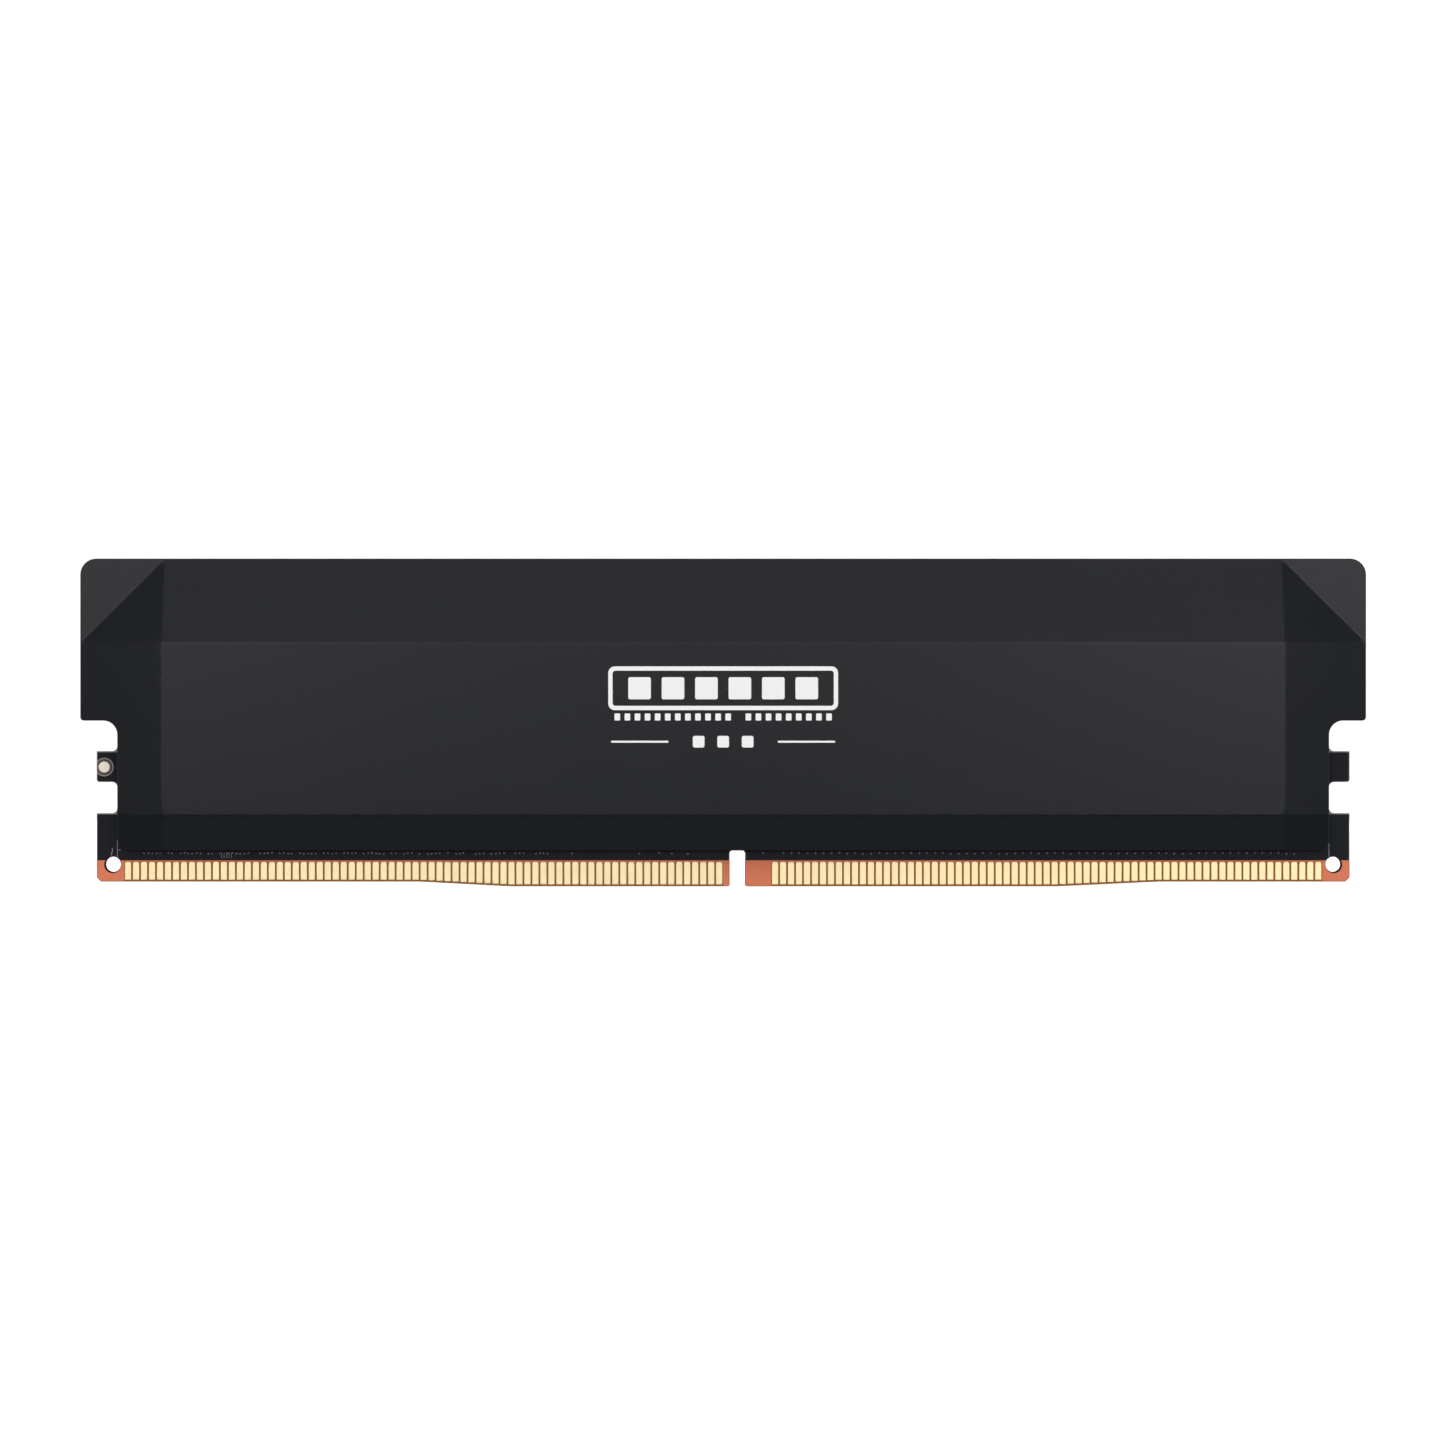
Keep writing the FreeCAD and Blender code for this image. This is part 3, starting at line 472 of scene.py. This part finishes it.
def pale_gold():
    """Thin immersion gold over rough copper, almost white under soft light."""
    finish = Finish("pale_gold", metallic=0.55)
    grain = finish.noise(0.12, 2.0)
    colour = finish.mix(grain, (0.88, 0.80, 0.64), (0.96, 0.90, 0.78))
    return finish.set(base_color=colour, roughness=0.34 + grain * 0.1)


def disc(side):
    """The mark's disc on the board's face, at its place or, with a side of -1, at the mirrored one."""
    outline = circle(side * MARK_X, MARK_Z, MARK_RADIUS, 40)
    points, faces, _ = slab([outline], soft_edge(PLATING, 0.035, 0.0))
    return upright(points, -BOARD_FACE - PLATING), faces


def joined(*shapes):
    """Several shapes, each given as points and faces, as one."""
    firsts = np.cumsum([0] + [len(points) for points, _ in shapes])
    faces = [group + first for (_, groups), first in zip(shapes, firsts) for group in groups]
    return np.concatenate([points for points, _ in shapes]), faces


rear_disc, rear_disc_faces = disc(-1)
points, faces = joined(disc(1), (to_rear(rear_disc), rear_disc_faces))
piece("alignment_discs", points, faces, pale_gold(), ["alignment_marks"])

# -----------------------------------------------------------------------------------------------------
# Plated holes. Small vias in a row just above the contacts carry the traces between layers. The mask covers
# them in low pale domes. They crowd together on the left and are a contact pitch apart on the right.
# -----------------------------------------------------------------------------------------------------

VIA_LEVEL = 3.52
VIA_RADIUS = 0.1
VIA_HEIGHT = 0.015
VIA_END = 61.6
VIAS_THIN_FROM, VIAS_REGULAR_FROM = -17, 6
KEY_CLEARANCE = 1.3


def domes(places, radius, height, rings=3, spokes=12):
    """Low domes at places (X, Z): points at rho (cos a, sin a) stand height (1 - rho squared) off the board,
    and the outermost ring is sunk a little into it."""
    rho = np.repeat(np.linspace(0.25, 1.0, rings), spokes)
    angle = np.tile(np.arange(spokes) * 2 * math.pi / spokes, rings)
    one = np.stack([radius * rho * np.cos(angle), radius * rho * np.sin(angle), -height * (1 - rho ** 2)], 1)
    one = np.vstack([one, [0, 0, -height], [0, 0, height / 2]])
    grid = np.arange(rings * spokes).reshape(rings, spokes)
    inner, outer = grid[:-1], grid[1:]
    quads = np.stack([inner, outer, np.roll(outer, -1, 1), np.roll(inner, -1, 1)], 2).reshape(-1, 4)
    cap = np.stack([np.full(spokes, rings * spokes), grid[0], np.roll(grid[0], -1)], 1)
    floor = np.stack([np.full(spokes, rings * spokes + 1), np.roll(grid[-1], -1), grid[-1]], 1)
    shift = np.insert(places, 2, 0, 1)
    return (one[None] + shift[:, None]).reshape(-1, 3), repeated((quads, cap, floor), len(one), len(places))


def tented():
    """Thin mask over tinned copper: a pale grey with a slight sheen."""
    finish = Finish("tented_via", metallic=0.1, specular_ior_level=0.2)
    tone = finish.mix(finish.noise(0.9), (0.035, 0.037, 0.042), (0.28, 0.275, 0.265))
    return finish.set(base_color=tone, roughness=0.34 + finish.noise(0.2) * 0.2)


chance = np.random.default_rng(11)
slots = np.arange(-VIA_END, VIA_END, PIN_PITCH / 2)
crowded = (slots < VIAS_THIN_FROM) & (chance.random(len(slots)) < 0.72)
sparse = (slots > VIAS_THIN_FROM) & (slots < VIAS_REGULAR_FROM) & (chance.random(len(slots)) < 0.22)
regular = (slots > VIAS_REGULAR_FROM) & (np.arange(len(slots)) % 2 == 0) & (chance.random(len(slots)) < 0.9)
via_x = slots[(crowded | sparse | regular) & (np.abs(slots - KEY_X) > KEY_CLEARANCE)]
via_x = via_x + chance.uniform(-0.05, 0.05, len(via_x))
via_z = VIA_LEVEL + chance.uniform(-0.06, 0.06, len(via_x))
tented_finish = tented()
points, faces = domes(np.stack([via_x, via_z], 1), VIA_RADIUS, VIA_HEIGHT)
piece("tented_vias_front", upright(points, -BOARD_FACE), faces, tented_finish)
points, faces = domes(np.stack([-via_x, via_z], 1), VIA_RADIUS, VIA_HEIGHT)
piece("tented_vias_back", to_rear(upright(points, -BOARD_FACE)), faces, tented_finish)

# -----------------------------------------------------------------------------------------------------
# Board printing. Thin strokes of pale ink on the solder mask: a line beside each tooling hole, a small corner
# mark at the first contact and a few counting ticks. There is no lettering.
# -----------------------------------------------------------------------------------------------------

INK = 0.015


def ink(name, tone, dark):
    """Screen-printed ink, slightly uneven where the mesh of the screen let less through."""
    finish = Finish(name, specular_ior_level=0.35)
    mesh = finish.noise(0.18, 2.0)
    return finish.set(base_color=finish.mix(mesh, tone, dark), roughness=0.5 + mesh * 0.12,
                      normal=finish.bump(mesh, 0.003, 0.4))


def bar(left, right, low, high, radius, arc_steps=6):
    """The closed path of a bar with round corners."""
    corners = [(left, low, radius), (right, low, radius), (right, high, radius), (left, high, radius)]
    return rounded(corners, arc_steps=arc_steps)


ticks = [(-53.4 + 0.26 * i, -53.34 + 0.26 * i, 3.0, 3.6) for i in range(5)]
marks = [(-64.5, -64.42, 3.0, 4.95), (-64.45, -64.1, 3.86, 3.94), (64.42, 64.5, 2.95, 4.6),
         (-65.12, -65.03, 3.3, 3.65), (-65.04, -64.95, 3.6, 4.1), (2.36, 2.44, 2.95, 3.6)]
strokes = [bar(*ends, 0.028, arc_steps=3) for ends in ticks + marks]
points, faces, _ = slab(strokes, soft_edge(INK, 0.005, 0.0, steps=1, guard=0.005))
piece("board_strokes", upright(points, -BOARD_FACE - INK), faces,
      ink("board_ink", (0.30, 0.30, 0.31), (0.16, 0.16, 0.17)))

# -----------------------------------------------------------------------------------------------------
# Heat spreaders. Two identical aluminium pressings, blanked, folded into shallow facets and powder-coated
# satin black. A flat middle panel is framed by bands that fall away from it, with a flat facet at each top
# corner. The rear one is the front one turned round, and dovetails on the top flanges lock them together.
# -----------------------------------------------------------------------------------------------------

front_low, front_high = (np.array(corner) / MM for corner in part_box("front_spreader"))
WING, TOP, BOTTOM, FACE = front_high[0], front_high[2], front_low[2], -front_low[1]
BODY = 64.35
WING_BOTTOM = 17.64
SHEET = 1.0
FALL = 1.0
PANEL, PANEL_TOP = 59.6, 59.3
PANEL_LOW, PANEL_HIGH = 7.54, 25.9
FOLD = 0.14
ROOT_CLEARANCE, CORNER_CLEARANCE = 2.2, 1.9
FLANGE_HALF, FLANGE_DEPTH, SEAM = 65.6, 0.9, 0.1
FLANGE_INSET, FLANGE_DULLING = 0.004, 0.6
DOVETAILS = (16.0, 48.0)
DOVETAIL_ROOT, DOVETAIL_TIP, DOVETAIL_REACH, DOVETAIL_PLAY = 2.1, 2.9, 1.35, 0.06


def ramp(distance_past, width):
    """Zero before a fold and the distance past it after it, with the fold rounded over a width each way."""
    rounded_part = (distance_past + width) ** 2 / (4 * width)
    return np.where(distance_past < -width, 0, np.where(distance_past > width, distance_past, rounded_part))


def facets(x, z):
    """How far the pressing falls back at (X, Z): side bands plus top band, never more than the full fall, so
    that the top corners lie flat again, plus the lower band."""
    panel = np.interp(z, [PANEL_HIGH, TOP], [PANEL, PANEL_TOP])
    side = FALL / (WING - PANEL) * ramp(np.abs(x) - panel, FOLD)
    top = FALL / (TOP - PANEL_HIGH) * ramp(z - PANEL_HIGH, FOLD)
    low = FALL / (PANEL_LOW - BOTTOM) * ramp(PANEL_LOW - z, FOLD)
    upper = side + top
    flat_from = FOLD * FALL / (WING - PANEL)
    return upper - ramp(upper - FALL, flat_from) + low


def fold_rows(start, end, step=0.9):
    """Points on rows along a fold, close together across it: the rows bend with the fold's rounding."""
    start, end = np.array(start), np.array(end)
    along = unit(end - start)
    across = np.array([-along[1], along[0]])
    length = np.linalg.norm(end - start)
    s = np.linspace(0, length, int(length / step) + 2)
    t = FOLD * np.array([-1.6, -1.0, -0.5, 0.0, 0.5, 1.0, 1.6])
    return (start + s[:, None, None] * along + t[None, :, None] * across).reshape(-1, 2)


def pressing_points(margin=0.35):
    """Where the pressing's faces need points: along its folds, and in a loose lattice between them."""
    rows = [fold_rows((-WING, z), (WING, z)) for z in (PANEL_LOW, PANEL_HIGH)]
    for side in (-1, 1):
        rows.append(fold_rows((side * PANEL, BOTTOM), (side * PANEL, PANEL_HIGH)))
        rows.append(fold_rows((side * PANEL, PANEL_HIGH), (side * PANEL_TOP, TOP)))
        rows.append(fold_rows((side * PANEL_TOP, TOP), (side * WING, PANEL_HIGH)))
    lattice = np.stack(np.meshgrid(np.arange(-66, 67, 3.0), np.arange(5.2, 34, 2.4)), -1).reshape(-1, 2)
    points = np.concatenate([*rows, lattice])
    half = np.where(points[:, 1] > WING_BOTTOM, WING, BODY) - margin
    off_ledge = (np.abs(points[:, 0]) < BODY - margin) | (points[:, 1] > WING_BOTTOM + margin)
    within = (np.abs(points[:, 0]) < half) & (points[:, 1] > BOTTOM + margin) & (points[:, 1] < TOP - margin)
    off_root = np.hypot(np.abs(points[:, 0]) - (BODY - 0.2), points[:, 1] - WING_BOTTOM) > ROOT_CLEARANCE
    off_corner = (np.abs(points[:, 0]) < WING - CORNER_CLEARANCE) | (points[:, 1] < TOP - CORNER_CLEARANCE)
    return points[within & off_ledge & off_root & off_corner]


def powder_coat():
    """Satin black powder coat with fine orange peel and slightly uneven gloss. It is duller on the rims,
    which
    are a shade lighter here and there: wear, and a painted edge highlight."""
    finish = Finish("satin_black_coat", specular_ior_level=0.28)
    peel = finish.noise(0.45, 2.0)
    haze = finish.noise(9.0, 3.0)
    turned_away = finish.attribute("turned")
    colour = finish.mix(haze, (0.0018, 0.0028, 0.0052), (0.0026, 0.0036, 0.0061))
    # Wear and a painted edge highlight: the rims are painted lighter in patches.
    worn_and_highlit = finish.step(turned_away, 0.75, 0.5) * finish.step(finish.noise(1.2, 3.0), 0.56, 0.25)
    colour = finish.mix(worn_and_highlit * 0.3, colour, (0.018, 0.018, 0.019))
    rough = 0.245 + haze * 0.02 + peel * 0.02 + finish.step(turned_away, 0.3, 0.5) * 0.5
    return finish.set(base_color=colour, roughness=rough, normal=finish.bump(peel, 0.002, 0.25))


def lying(points, top):
    """Slab points laid flat to face up: u is X, v is Y, and depth runs down from a Z."""
    return np.stack([points[:, 0], points[:, 1], top - points[:, 2]], 1)


def flange_outline():
    """The top flange seen from above, anticlockwise: two dovetail sockets on the right and two dovetail
    tongues on the left of its inner side, which stops half a seam short of the mid-plane."""
    lip = -SEAM / 2
    buried = -(FACE - FALL - SHEET / 2)
    corners = [(-FLANGE_HALF, buried, 0.2), (FLANGE_HALF, buried, 0.2), (FLANGE_HALF, lip, 0.5)]
    tongues = [(-x, DOVETAIL_ROOT, DOVETAIL_TIP, DOVETAIL_REACH) for x in DOVETAILS]
    sockets = [(-x, root + DOVETAIL_PLAY, tip + DOVETAIL_PLAY, -reach - DOVETAIL_PLAY)
               for x, root, tip, reach in reversed(tongues)]
    for x, root, tip, reach in sockets + tongues:
        corners += [(x + root, lip, 0.12), (x + tip, reach, 0.2)]
        corners += [(x - tip, reach, 0.2), (x - root, lip, 0.12)]
    return rounded(corners + [(-FLANGE_HALF, lip, 0.5)], arc_steps=4)


half_outline = [(BODY, BOTTOM, 1.0), (BODY, WING_BOTTOM, 1.5), (WING, WING_BOTTOM, 0.4), (WING, TOP, 1.7)]
other_half = [(-x, z, radius) for x, z, radius in half_outline]
outline = rounded([other_half[0], *half_outline, *reversed(other_half[1:])], step=0.2, arc_steps=10)
face, face_faces, face_turned = slab([outline], soft_edge(SHEET, 0.1, 0.05), facets, pressing_points())
flange, flange_faces, flange_turned = slab([flange_outline()], soft_edge(FLANGE_DEPTH, 0.1))
flange = lying(flange, TOP - FLANGE_INSET)
pressing, faces = joined((upright(face, -FACE), face_faces), (flange, flange_faces))
turned = np.concatenate([face_turned, flange_turned * FLANGE_DULLING])
coat = powder_coat()
piece("front_heat_spreader", pressing, faces, coat, ["front_spreader"], turned)
piece("rear_heat_spreader", to_rear(pressing), faces, coat, ["rear_spreader"], turned)

# -----------------------------------------------------------------------------------------------------
# Spreader printing. White ink pad-printed in the middle of each spreader: a plain pictogram of a memory
# module, and under it three squares between two thin rules. It stands for no maker.
# -----------------------------------------------------------------------------------------------------

PRINT_HALF = 12.2
CARD_LOW, CARD_HIGH = 18.75, 23.4
STROKE = 0.46
CHIP_HALF, CHIP_INSET = 1.2, 1.15
TOOTH_HALF, TOOTH_LOW = 0.3, 17.65
RULE_LEVEL, RULE_HALF, RULES = 15.4, 0.105, ((-11.9, -5.8), (5.8, 11.9))
SQUARE_HALF = 0.62


def pictogram():
    """Closed paths: a rounded frame with a window, six chips inside, contacts below, squares and rules."""
    frame_path = bar(-PRINT_HALF, PRINT_HALF, CARD_LOW, CARD_HIGH, 0.7)
    inner = PRINT_HALF - STROKE
    window = bar(-inner, inner, CARD_LOW + STROKE, CARD_HIGH - STROKE, 0.3)[::-1]
    chips = [bar(x - CHIP_HALF, x + CHIP_HALF, CARD_LOW + CHIP_INSET, CARD_HIGH - CHIP_INSET, 0.2)
             for x in (np.arange(6) - 2.5) * 3.55]
    teeth = [bar(x - TOOTH_HALF, x + TOOTH_HALF, TOOTH_LOW, CARD_LOW - 0.35, 0.1)
             for x in (np.arange(22) - 10.5) * 1.07 if abs(x - 1.6) > 0.6]
    squares = [bar(x - SQUARE_HALF, x + SQUARE_HALF, RULE_LEVEL - SQUARE_HALF, RULE_LEVEL + SQUARE_HALF, 0.2)
               for x in (-2.6, 0.0, 2.6)]
    rules = [bar(*ends, RULE_LEVEL - RULE_HALF, RULE_LEVEL + RULE_HALF, 0.1) for ends in RULES]
    return [frame_path, window, *chips, *teeth, *squares, *rules]


white = ink("white_print", (0.96, 0.96, 0.96), (0.91, 0.91, 0.91))
points, faces, _ = slab(pictogram(), soft_edge(INK, 0.006, 0.0, steps=1, guard=0.01))
printed = upright(points, -FACE - INK)
piece("front_print", printed, faces, white)
piece("rear_print", to_rear(printed), faces, white)

# -----------------------------------------------------------------------------------------------------
# Rear label. A blank polyester rating label, die-cut with round corners and stuck on the rear spreader. Only
# its printed frame and field rules are there: it carries no lettering.
# -----------------------------------------------------------------------------------------------------

label_low, label_high = (np.array(corner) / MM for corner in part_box("rear_label"))
LABEL_THICKNESS = label_high[1] - FACE
RULE_SPACING = 3.0


def polyester():
    """White satin film with a thin grey frame and three field rules printed on it."""
    finish = Finish("label_film", specular_ior_level=0.5)
    fibre = finish.noise(0.5, 3.0, at=finish.stretched(0.4, 1, 3))
    middle, half = (label_low + label_high) / 2, (label_high - label_low) / 2
    to_side = half[0] - abs(finish.x - middle[0])
    to_end = half[2] - abs(finish.z - middle[2])
    inside = finish.step(to_side, 1.0, 0.04) * finish.step(to_end, 1.0, 0.04)
    field = finish.step(to_side, 1.18, 0.04) * finish.step(to_end, 1.18, 0.04)
    from_rule = abs((finish.z - middle[2] + RULE_SPACING / 2).wrapped(RULE_SPACING) - 0.5)
    rules = (1 - finish.step(from_rule, 0.03, 0.012)) * field
    printed = (inside - field).larger(rules)
    film = finish.mix(fibre, (0.62, 0.625, 0.63), (0.72, 0.72, 0.72))
    colour = finish.mix(printed, film, (0.16, 0.16, 0.165))
    return finish.set(base_color=colour, roughness=0.36 + fibre * 0.12)


corners = [(-label_high[0], label_low[2], 1.0), (-label_low[0], label_low[2], 1.0),
           (-label_low[0], label_high[2], 1.0), (-label_high[0], label_high[2], 1.0)]
points, faces, turned = slab([rounded(corners)], soft_edge(LABEL_THICKNESS, 0.03, 0.0, guard=0.05))
piece("blank_label", to_rear(upright(points, -FACE - LABEL_THICKNESS)), faces, polyester(),
      ["rear_label"], turned)

# -----------------------------------------------------------------------------------------------------
# Thermal pads. Strips of soft silicone gap filler, one along each row of chips and one over the power parts.
# They are pressed between the chips and the spreaders until their edges bulge, and their own tack holds them.
# -----------------------------------------------------------------------------------------------------

PAD_BULGE = 0.16


def silicone():
    """Grey-blue silicone full of ceramic powder: matt, speckled and slightly dimpled."""
    finish = Finish("gap_filler", subsurface_weight=0.05)
    powder = finish.noise(0.12, 3.0, 0.7)
    cloud = finish.noise(2.5)
    colour = finish.mix(cloud, (0.22, 0.28, 0.36), (0.30, 0.36, 0.44))
    colour = finish.mix(finish.step(powder, 0.62, 0.1) * 0.5, colour, (0.5, 0.55, 0.6))
    return finish.set(base_color=colour, roughness=0.62 + powder * 0.2, normal=finish.bump(powder, 0.02, 0.5))


def pressed_pad(low, high):
    """A strip whose edge bulges as a half sine: inset -b sin(pi t) at depth t of its thickness."""
    t = np.linspace(0, 1, 9)
    depth = high[1] - low[1]
    section = np.stack([-PAD_BULGE * np.sin(math.pi * t), depth * t], 1)
    section = np.vstack([[0.1, 0], section, [0.1, depth]])
    corners = [(low[0], low[2], 0.5), (high[0], low[2], 0.5), (high[0], high[2], 0.5), (low[0], high[2], 0.5)]
    points, faces, _ = slab([rounded(corners, step=1.0)], section)
    return upright(points, low[1]), faces


filler = silicone()
for node in (f"thermal_pad_{side}_{hand}" for side in ("front", "back") for hand in ("left", "right")):
    points, faces = pressed_pad(*(np.array(corner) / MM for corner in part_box(node)))
    piece(f"{node}_strip", points, faces, filler, [node])
low, high = (np.array(corner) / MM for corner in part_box("thermal_pad_power"))
coil_top = np.array(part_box("power_inductor_1")[0])[1] / MM
chip_low, chip_high = (np.array(corner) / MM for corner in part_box("power_management_chip"))
over_coils = pressed_pad(low, (high[0], coil_top, high[2]))
over_chip = pressed_pad((chip_low[0], coil_top, chip_low[2]), (chip_high[0], chip_low[1], chip_high[2]))
points, faces = joined(over_coils, over_chip)
piece("thermal_pad_power_strip", points, faces, filler, ["thermal_pad_power"])

# -----------------------------------------------------------------------------------------------------
# Chips and small parts. They are soldered to both faces of the board, out of sight between the spreaders
# except through the gaps at the ends and along the bottom: each keeps its shape and gets its finish here.
# -----------------------------------------------------------------------------------------------------

SUBSTRATE_FROM, MOULD_FROM = 0.3, 0.5
ARRAY_LEVEL = 5.9


def moulded_package():
    """From the board up: tin-silver balls, a green substrate, and grey-black mould compound full of grit."""
    finish = Finish("memory_package")
    stand = abs(finish.y) - BOARD_FACE
    grit = finish.noise(0.09, 3.0, 0.7)
    past_balls = finish.step(stand, SUBSTRATE_FROM, 0.02)
    mould = finish.mix(finish.step(grit, 0.6, 0.2), (0.018, 0.018, 0.019), (0.055, 0.055, 0.057))
    below = finish.mix(past_balls, (0.66, 0.66, 0.65), (0.02, 0.09, 0.035))
    colour = finish.mix(finish.step(stand, MOULD_FROM, 0.02), below, mould)
    return finish.set(base_color=colour, metallic=1 - past_balls, roughness=0.34 + grit * 0.34,
                      normal=finish.bump(grit, 0.006, 0.4))


def chip_capacitor(name, first, pitch, length, end):
    """A tan ceramic block with tinned ends. The blocks lie in a row that starts at the first one's X and
    repeats by the pitch, alike on both sides of the middle."""
    finish = Finish(name)
    along = abs(((abs(finish.x) - first) / pitch + 0.5).wrapped(1.0) - 0.5) * pitch
    tinned = finish.step(along, length / 2 - end, 0.02)
    grain = finish.noise(0.1, 2.0, 0.6)
    body = finish.mix(grain, (0.22, 0.12, 0.06), (0.33, 0.20, 0.11))
    return finish.set(base_color=finish.mix(tinned, body, (0.72, 0.71, 0.69)), metallic=tinned,
                      roughness=0.30 + grain * 0.2, normal=finish.bump(grain, 0.01, 0.3))


def resistor_array():
    """Black glaze with four tinned ends along each long side."""
    finish = Finish("resistor_array")
    across = abs(finish.z - ARRAY_LEVEL)
    tooth = finish.step(abs(finish.x.wrapped(0.5) - 0.5), 0.24, 0.05)
    tinned = finish.step(across, 0.32, 0.03) * tooth
    grain = finish.noise(0.08)
    body = finish.mix(grain, (0.012, 0.012, 0.013), (0.03, 0.03, 0.03))
    return finish.set(base_color=finish.mix(tinned, body, (0.7, 0.69, 0.67)), metallic=tinned,
                      roughness=0.28 + grain * 0.2)


def pressed_iron():
    """The grey iron-powder body of an inductor, on tinned terminals."""
    finish = Finish("iron_powder")
    grit = finish.noise(0.12, 4.0, 0.7)
    terminal = 1 - finish.step(abs(finish.y) - BOARD_FACE, PLATING, 0.01)
    body = finish.mix(grit, (0.07, 0.07, 0.072), (0.17, 0.17, 0.172))
    return finish.set(base_color=finish.mix(terminal, body, (0.7, 0.69, 0.67)), metallic=terminal,
                      roughness=0.55 + grit * 0.2, normal=finish.bump(grit, 0.02, 0.5))


def dress(finish, *nodes):
    """Gives CAD nodes their finish."""
    for node in nodes:
        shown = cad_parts[node]
        shown.data.materials.clear()
        shown.data.materials.append(finish)


dress(moulded_package(), *(f"memory_{side}_{i}" for side in ("front", "back") for i in range(1, 9)))
plain_package = Finish("moulded_chip")
speckle = plain_package.noise(0.09, 3.0, 0.7)
dress(plain_package.set(base_color=plain_package.mix(speckle, (0.016, 0.016, 0.017), (0.05, 0.05, 0.052)),
                        roughness=0.42 + speckle * 0.25), "power_management_chip", "sideband_hub_chip")
dress(chip_capacitor("small_capacitor", 14.6, 3.85, 1.0, 0.25),
      "decoupling_capacitors_front", "decoupling_capacitors_back")
dress(chip_capacitor("bulk_capacitor", 5.6, 3.0, 2.0, 0.4), "bulk_capacitors")
dress(resistor_array(), "resistor_arrays_front", "resistor_arrays_back")
dress(pressed_iron(), "power_inductor_1", "power_inductor_2", "power_inductor_3")

# -----------------------------------------------------------------------------------------------------
# The studio: a pale floor, a soft surround, softboxes and a long lens square on to the front. The floor is
# there to be seen and to catch the shadow: the lower half of the surround stands in for the light it returns.
# -----------------------------------------------------------------------------------------------------

FLOOR_REACH, FLOOR_GLOW = 12.0, 0.62
BACKDROP = 1.05
DIM, FROM_BELOW = 0.21, 0.6
MIDDLE_HEIGHT = 0.017
VIEW_FROM, LENS = (-0.00007, -1.2, 0.01744), 280.8

scene = bpy.context.scene
scene.view_settings.view_transform = "Standard"

floor_mesh = bpy.data.meshes.new("studio_floor")
corners = FLOOR_REACH * np.array([(-1, -1, 0), (1, -1, 0), (1, 1, 0), (-1, 1, 0)])
floor_mesh.from_pydata(corners.tolist(), [], [(0, 1, 2, 3)])
floor = bpy.data.objects.new("studio_floor", floor_mesh)
scene.collection.objects.link(floor)
paper = Finish("studio_paper", roughness=0.9, specular_ior_level=0.1, emission_strength=FLOOR_GLOW)
floor.data.materials.append(paper.set(base_color=(0.85, 0.85, 0.85), emission_color=(1.0, 1.0, 1.0)))
floor.visible_glossy = False
floor.visible_diffuse = False
floor.visible_shadow = False

world = bpy.data.worlds.new("studio_surround")
scene.world = world
world.use_nodes = True
world.node_tree.nodes.clear()
surround = Nodes(world.node_tree)
direction = surround.node("TexCoord", output="Generated")
x, y, z = (surround.node("SeparateXYZ", inputs={0: direction}, output=i) for i in range(3))
sideways = abs(x) / ((x * x + y * y) ** 0.5).larger(0.001)
bright = surround.step(sideways, 0.45, 0.16) * (1 - 0.7 * surround.step(sideways, 0.93, 0.12))
level = (1.42 + 1.67 * z).larger(0.25).smaller(1.6 - 0.9 * z) * (1.15 - 0.45 * sideways)
below = 1 - surround.step(z, -0.8, 0.25)
strength = DIM * (1 - bright) + bright * level + FROM_BELOW * below
seen = surround.node("LightPath", output="Is Camera Ray")
strength = seen * BACKDROP + (1 - seen) * strength
background = surround.node("Background", inputs={"Color": (1.0, 1.0, 1.0), "Strength": strength})
surround.node("OutputWorld", inputs={"Surface": background})


def softbox(name, azimuth, elevation, away, width, height, brightness):
    """A soft rectangular light turned to the module. Its direction is in degrees from straight in front, its
    distance and size are in metres, and its brightness is the radiance of its face."""
    around, above = math.radians(azimuth), math.radians(elevation)
    light = bpy.data.lights.new(name, "AREA")
    light.shape = "RECTANGLE"
    light.size = width
    light.size_y = height
    light.energy = brightness * math.pi * width * height
    lamp = bpy.data.objects.new(name, light)
    scene.collection.objects.link(lamp)
    level = math.cos(above)
    toward = Vector((math.sin(around) * level, -math.cos(around) * level, math.sin(above)))
    lamp.location = toward * away + Vector((0, 0, MIDDLE_HEIGHT))
    lamp.rotation_euler = toward.to_track_quat("Z", "Y").to_euler()
    lamp.visible_camera = False


for face, turn in (("front", 0), ("rear", 180)):
    softbox(f"{face}_left_softbox", turn - 10, 5, 0.8, 0.16, 0.07, 8.1)
    softbox(f"{face}_middle_softbox", turn, 5, 0.8, 0.12, 0.07, 0.9)
    softbox(f"{face}_right_softbox", turn + 10, 5, 0.8, 0.16, 0.07, 9.7)
    softbox(f"{face}_upper_softbox", turn, 20, 0.8, 0.30, 0.10, 1.8)
    softbox(f"{face}_lower_softbox", turn, -30, 0.8, 0.50, 0.08, 0.7)
softbox("overhead_softbox", 0, 58, 0.85, 0.90, 0.50, 1.6)
for name, azimuth, brightness in (("left", -68, 4.0), ("right", 68, 5.5), ("rear_left", 112, 5.0),
                                  ("rear_right", -112, 5.0)):
    softbox(f"{name}_side_softbox", azimuth, 9, 0.9, 0.30, 0.27, brightness)

camera = bpy.data.cameras.new("camera")
camera.sensor_width = 36
camera.lens = LENS
camera.clip_end = 30
shot = bpy.data.objects.new("camera", camera)
scene.collection.objects.link(shot)
shot.location = VIEW_FROM
shot.rotation_euler = (math.radians(90), 0, 0)
scene.camera = shot
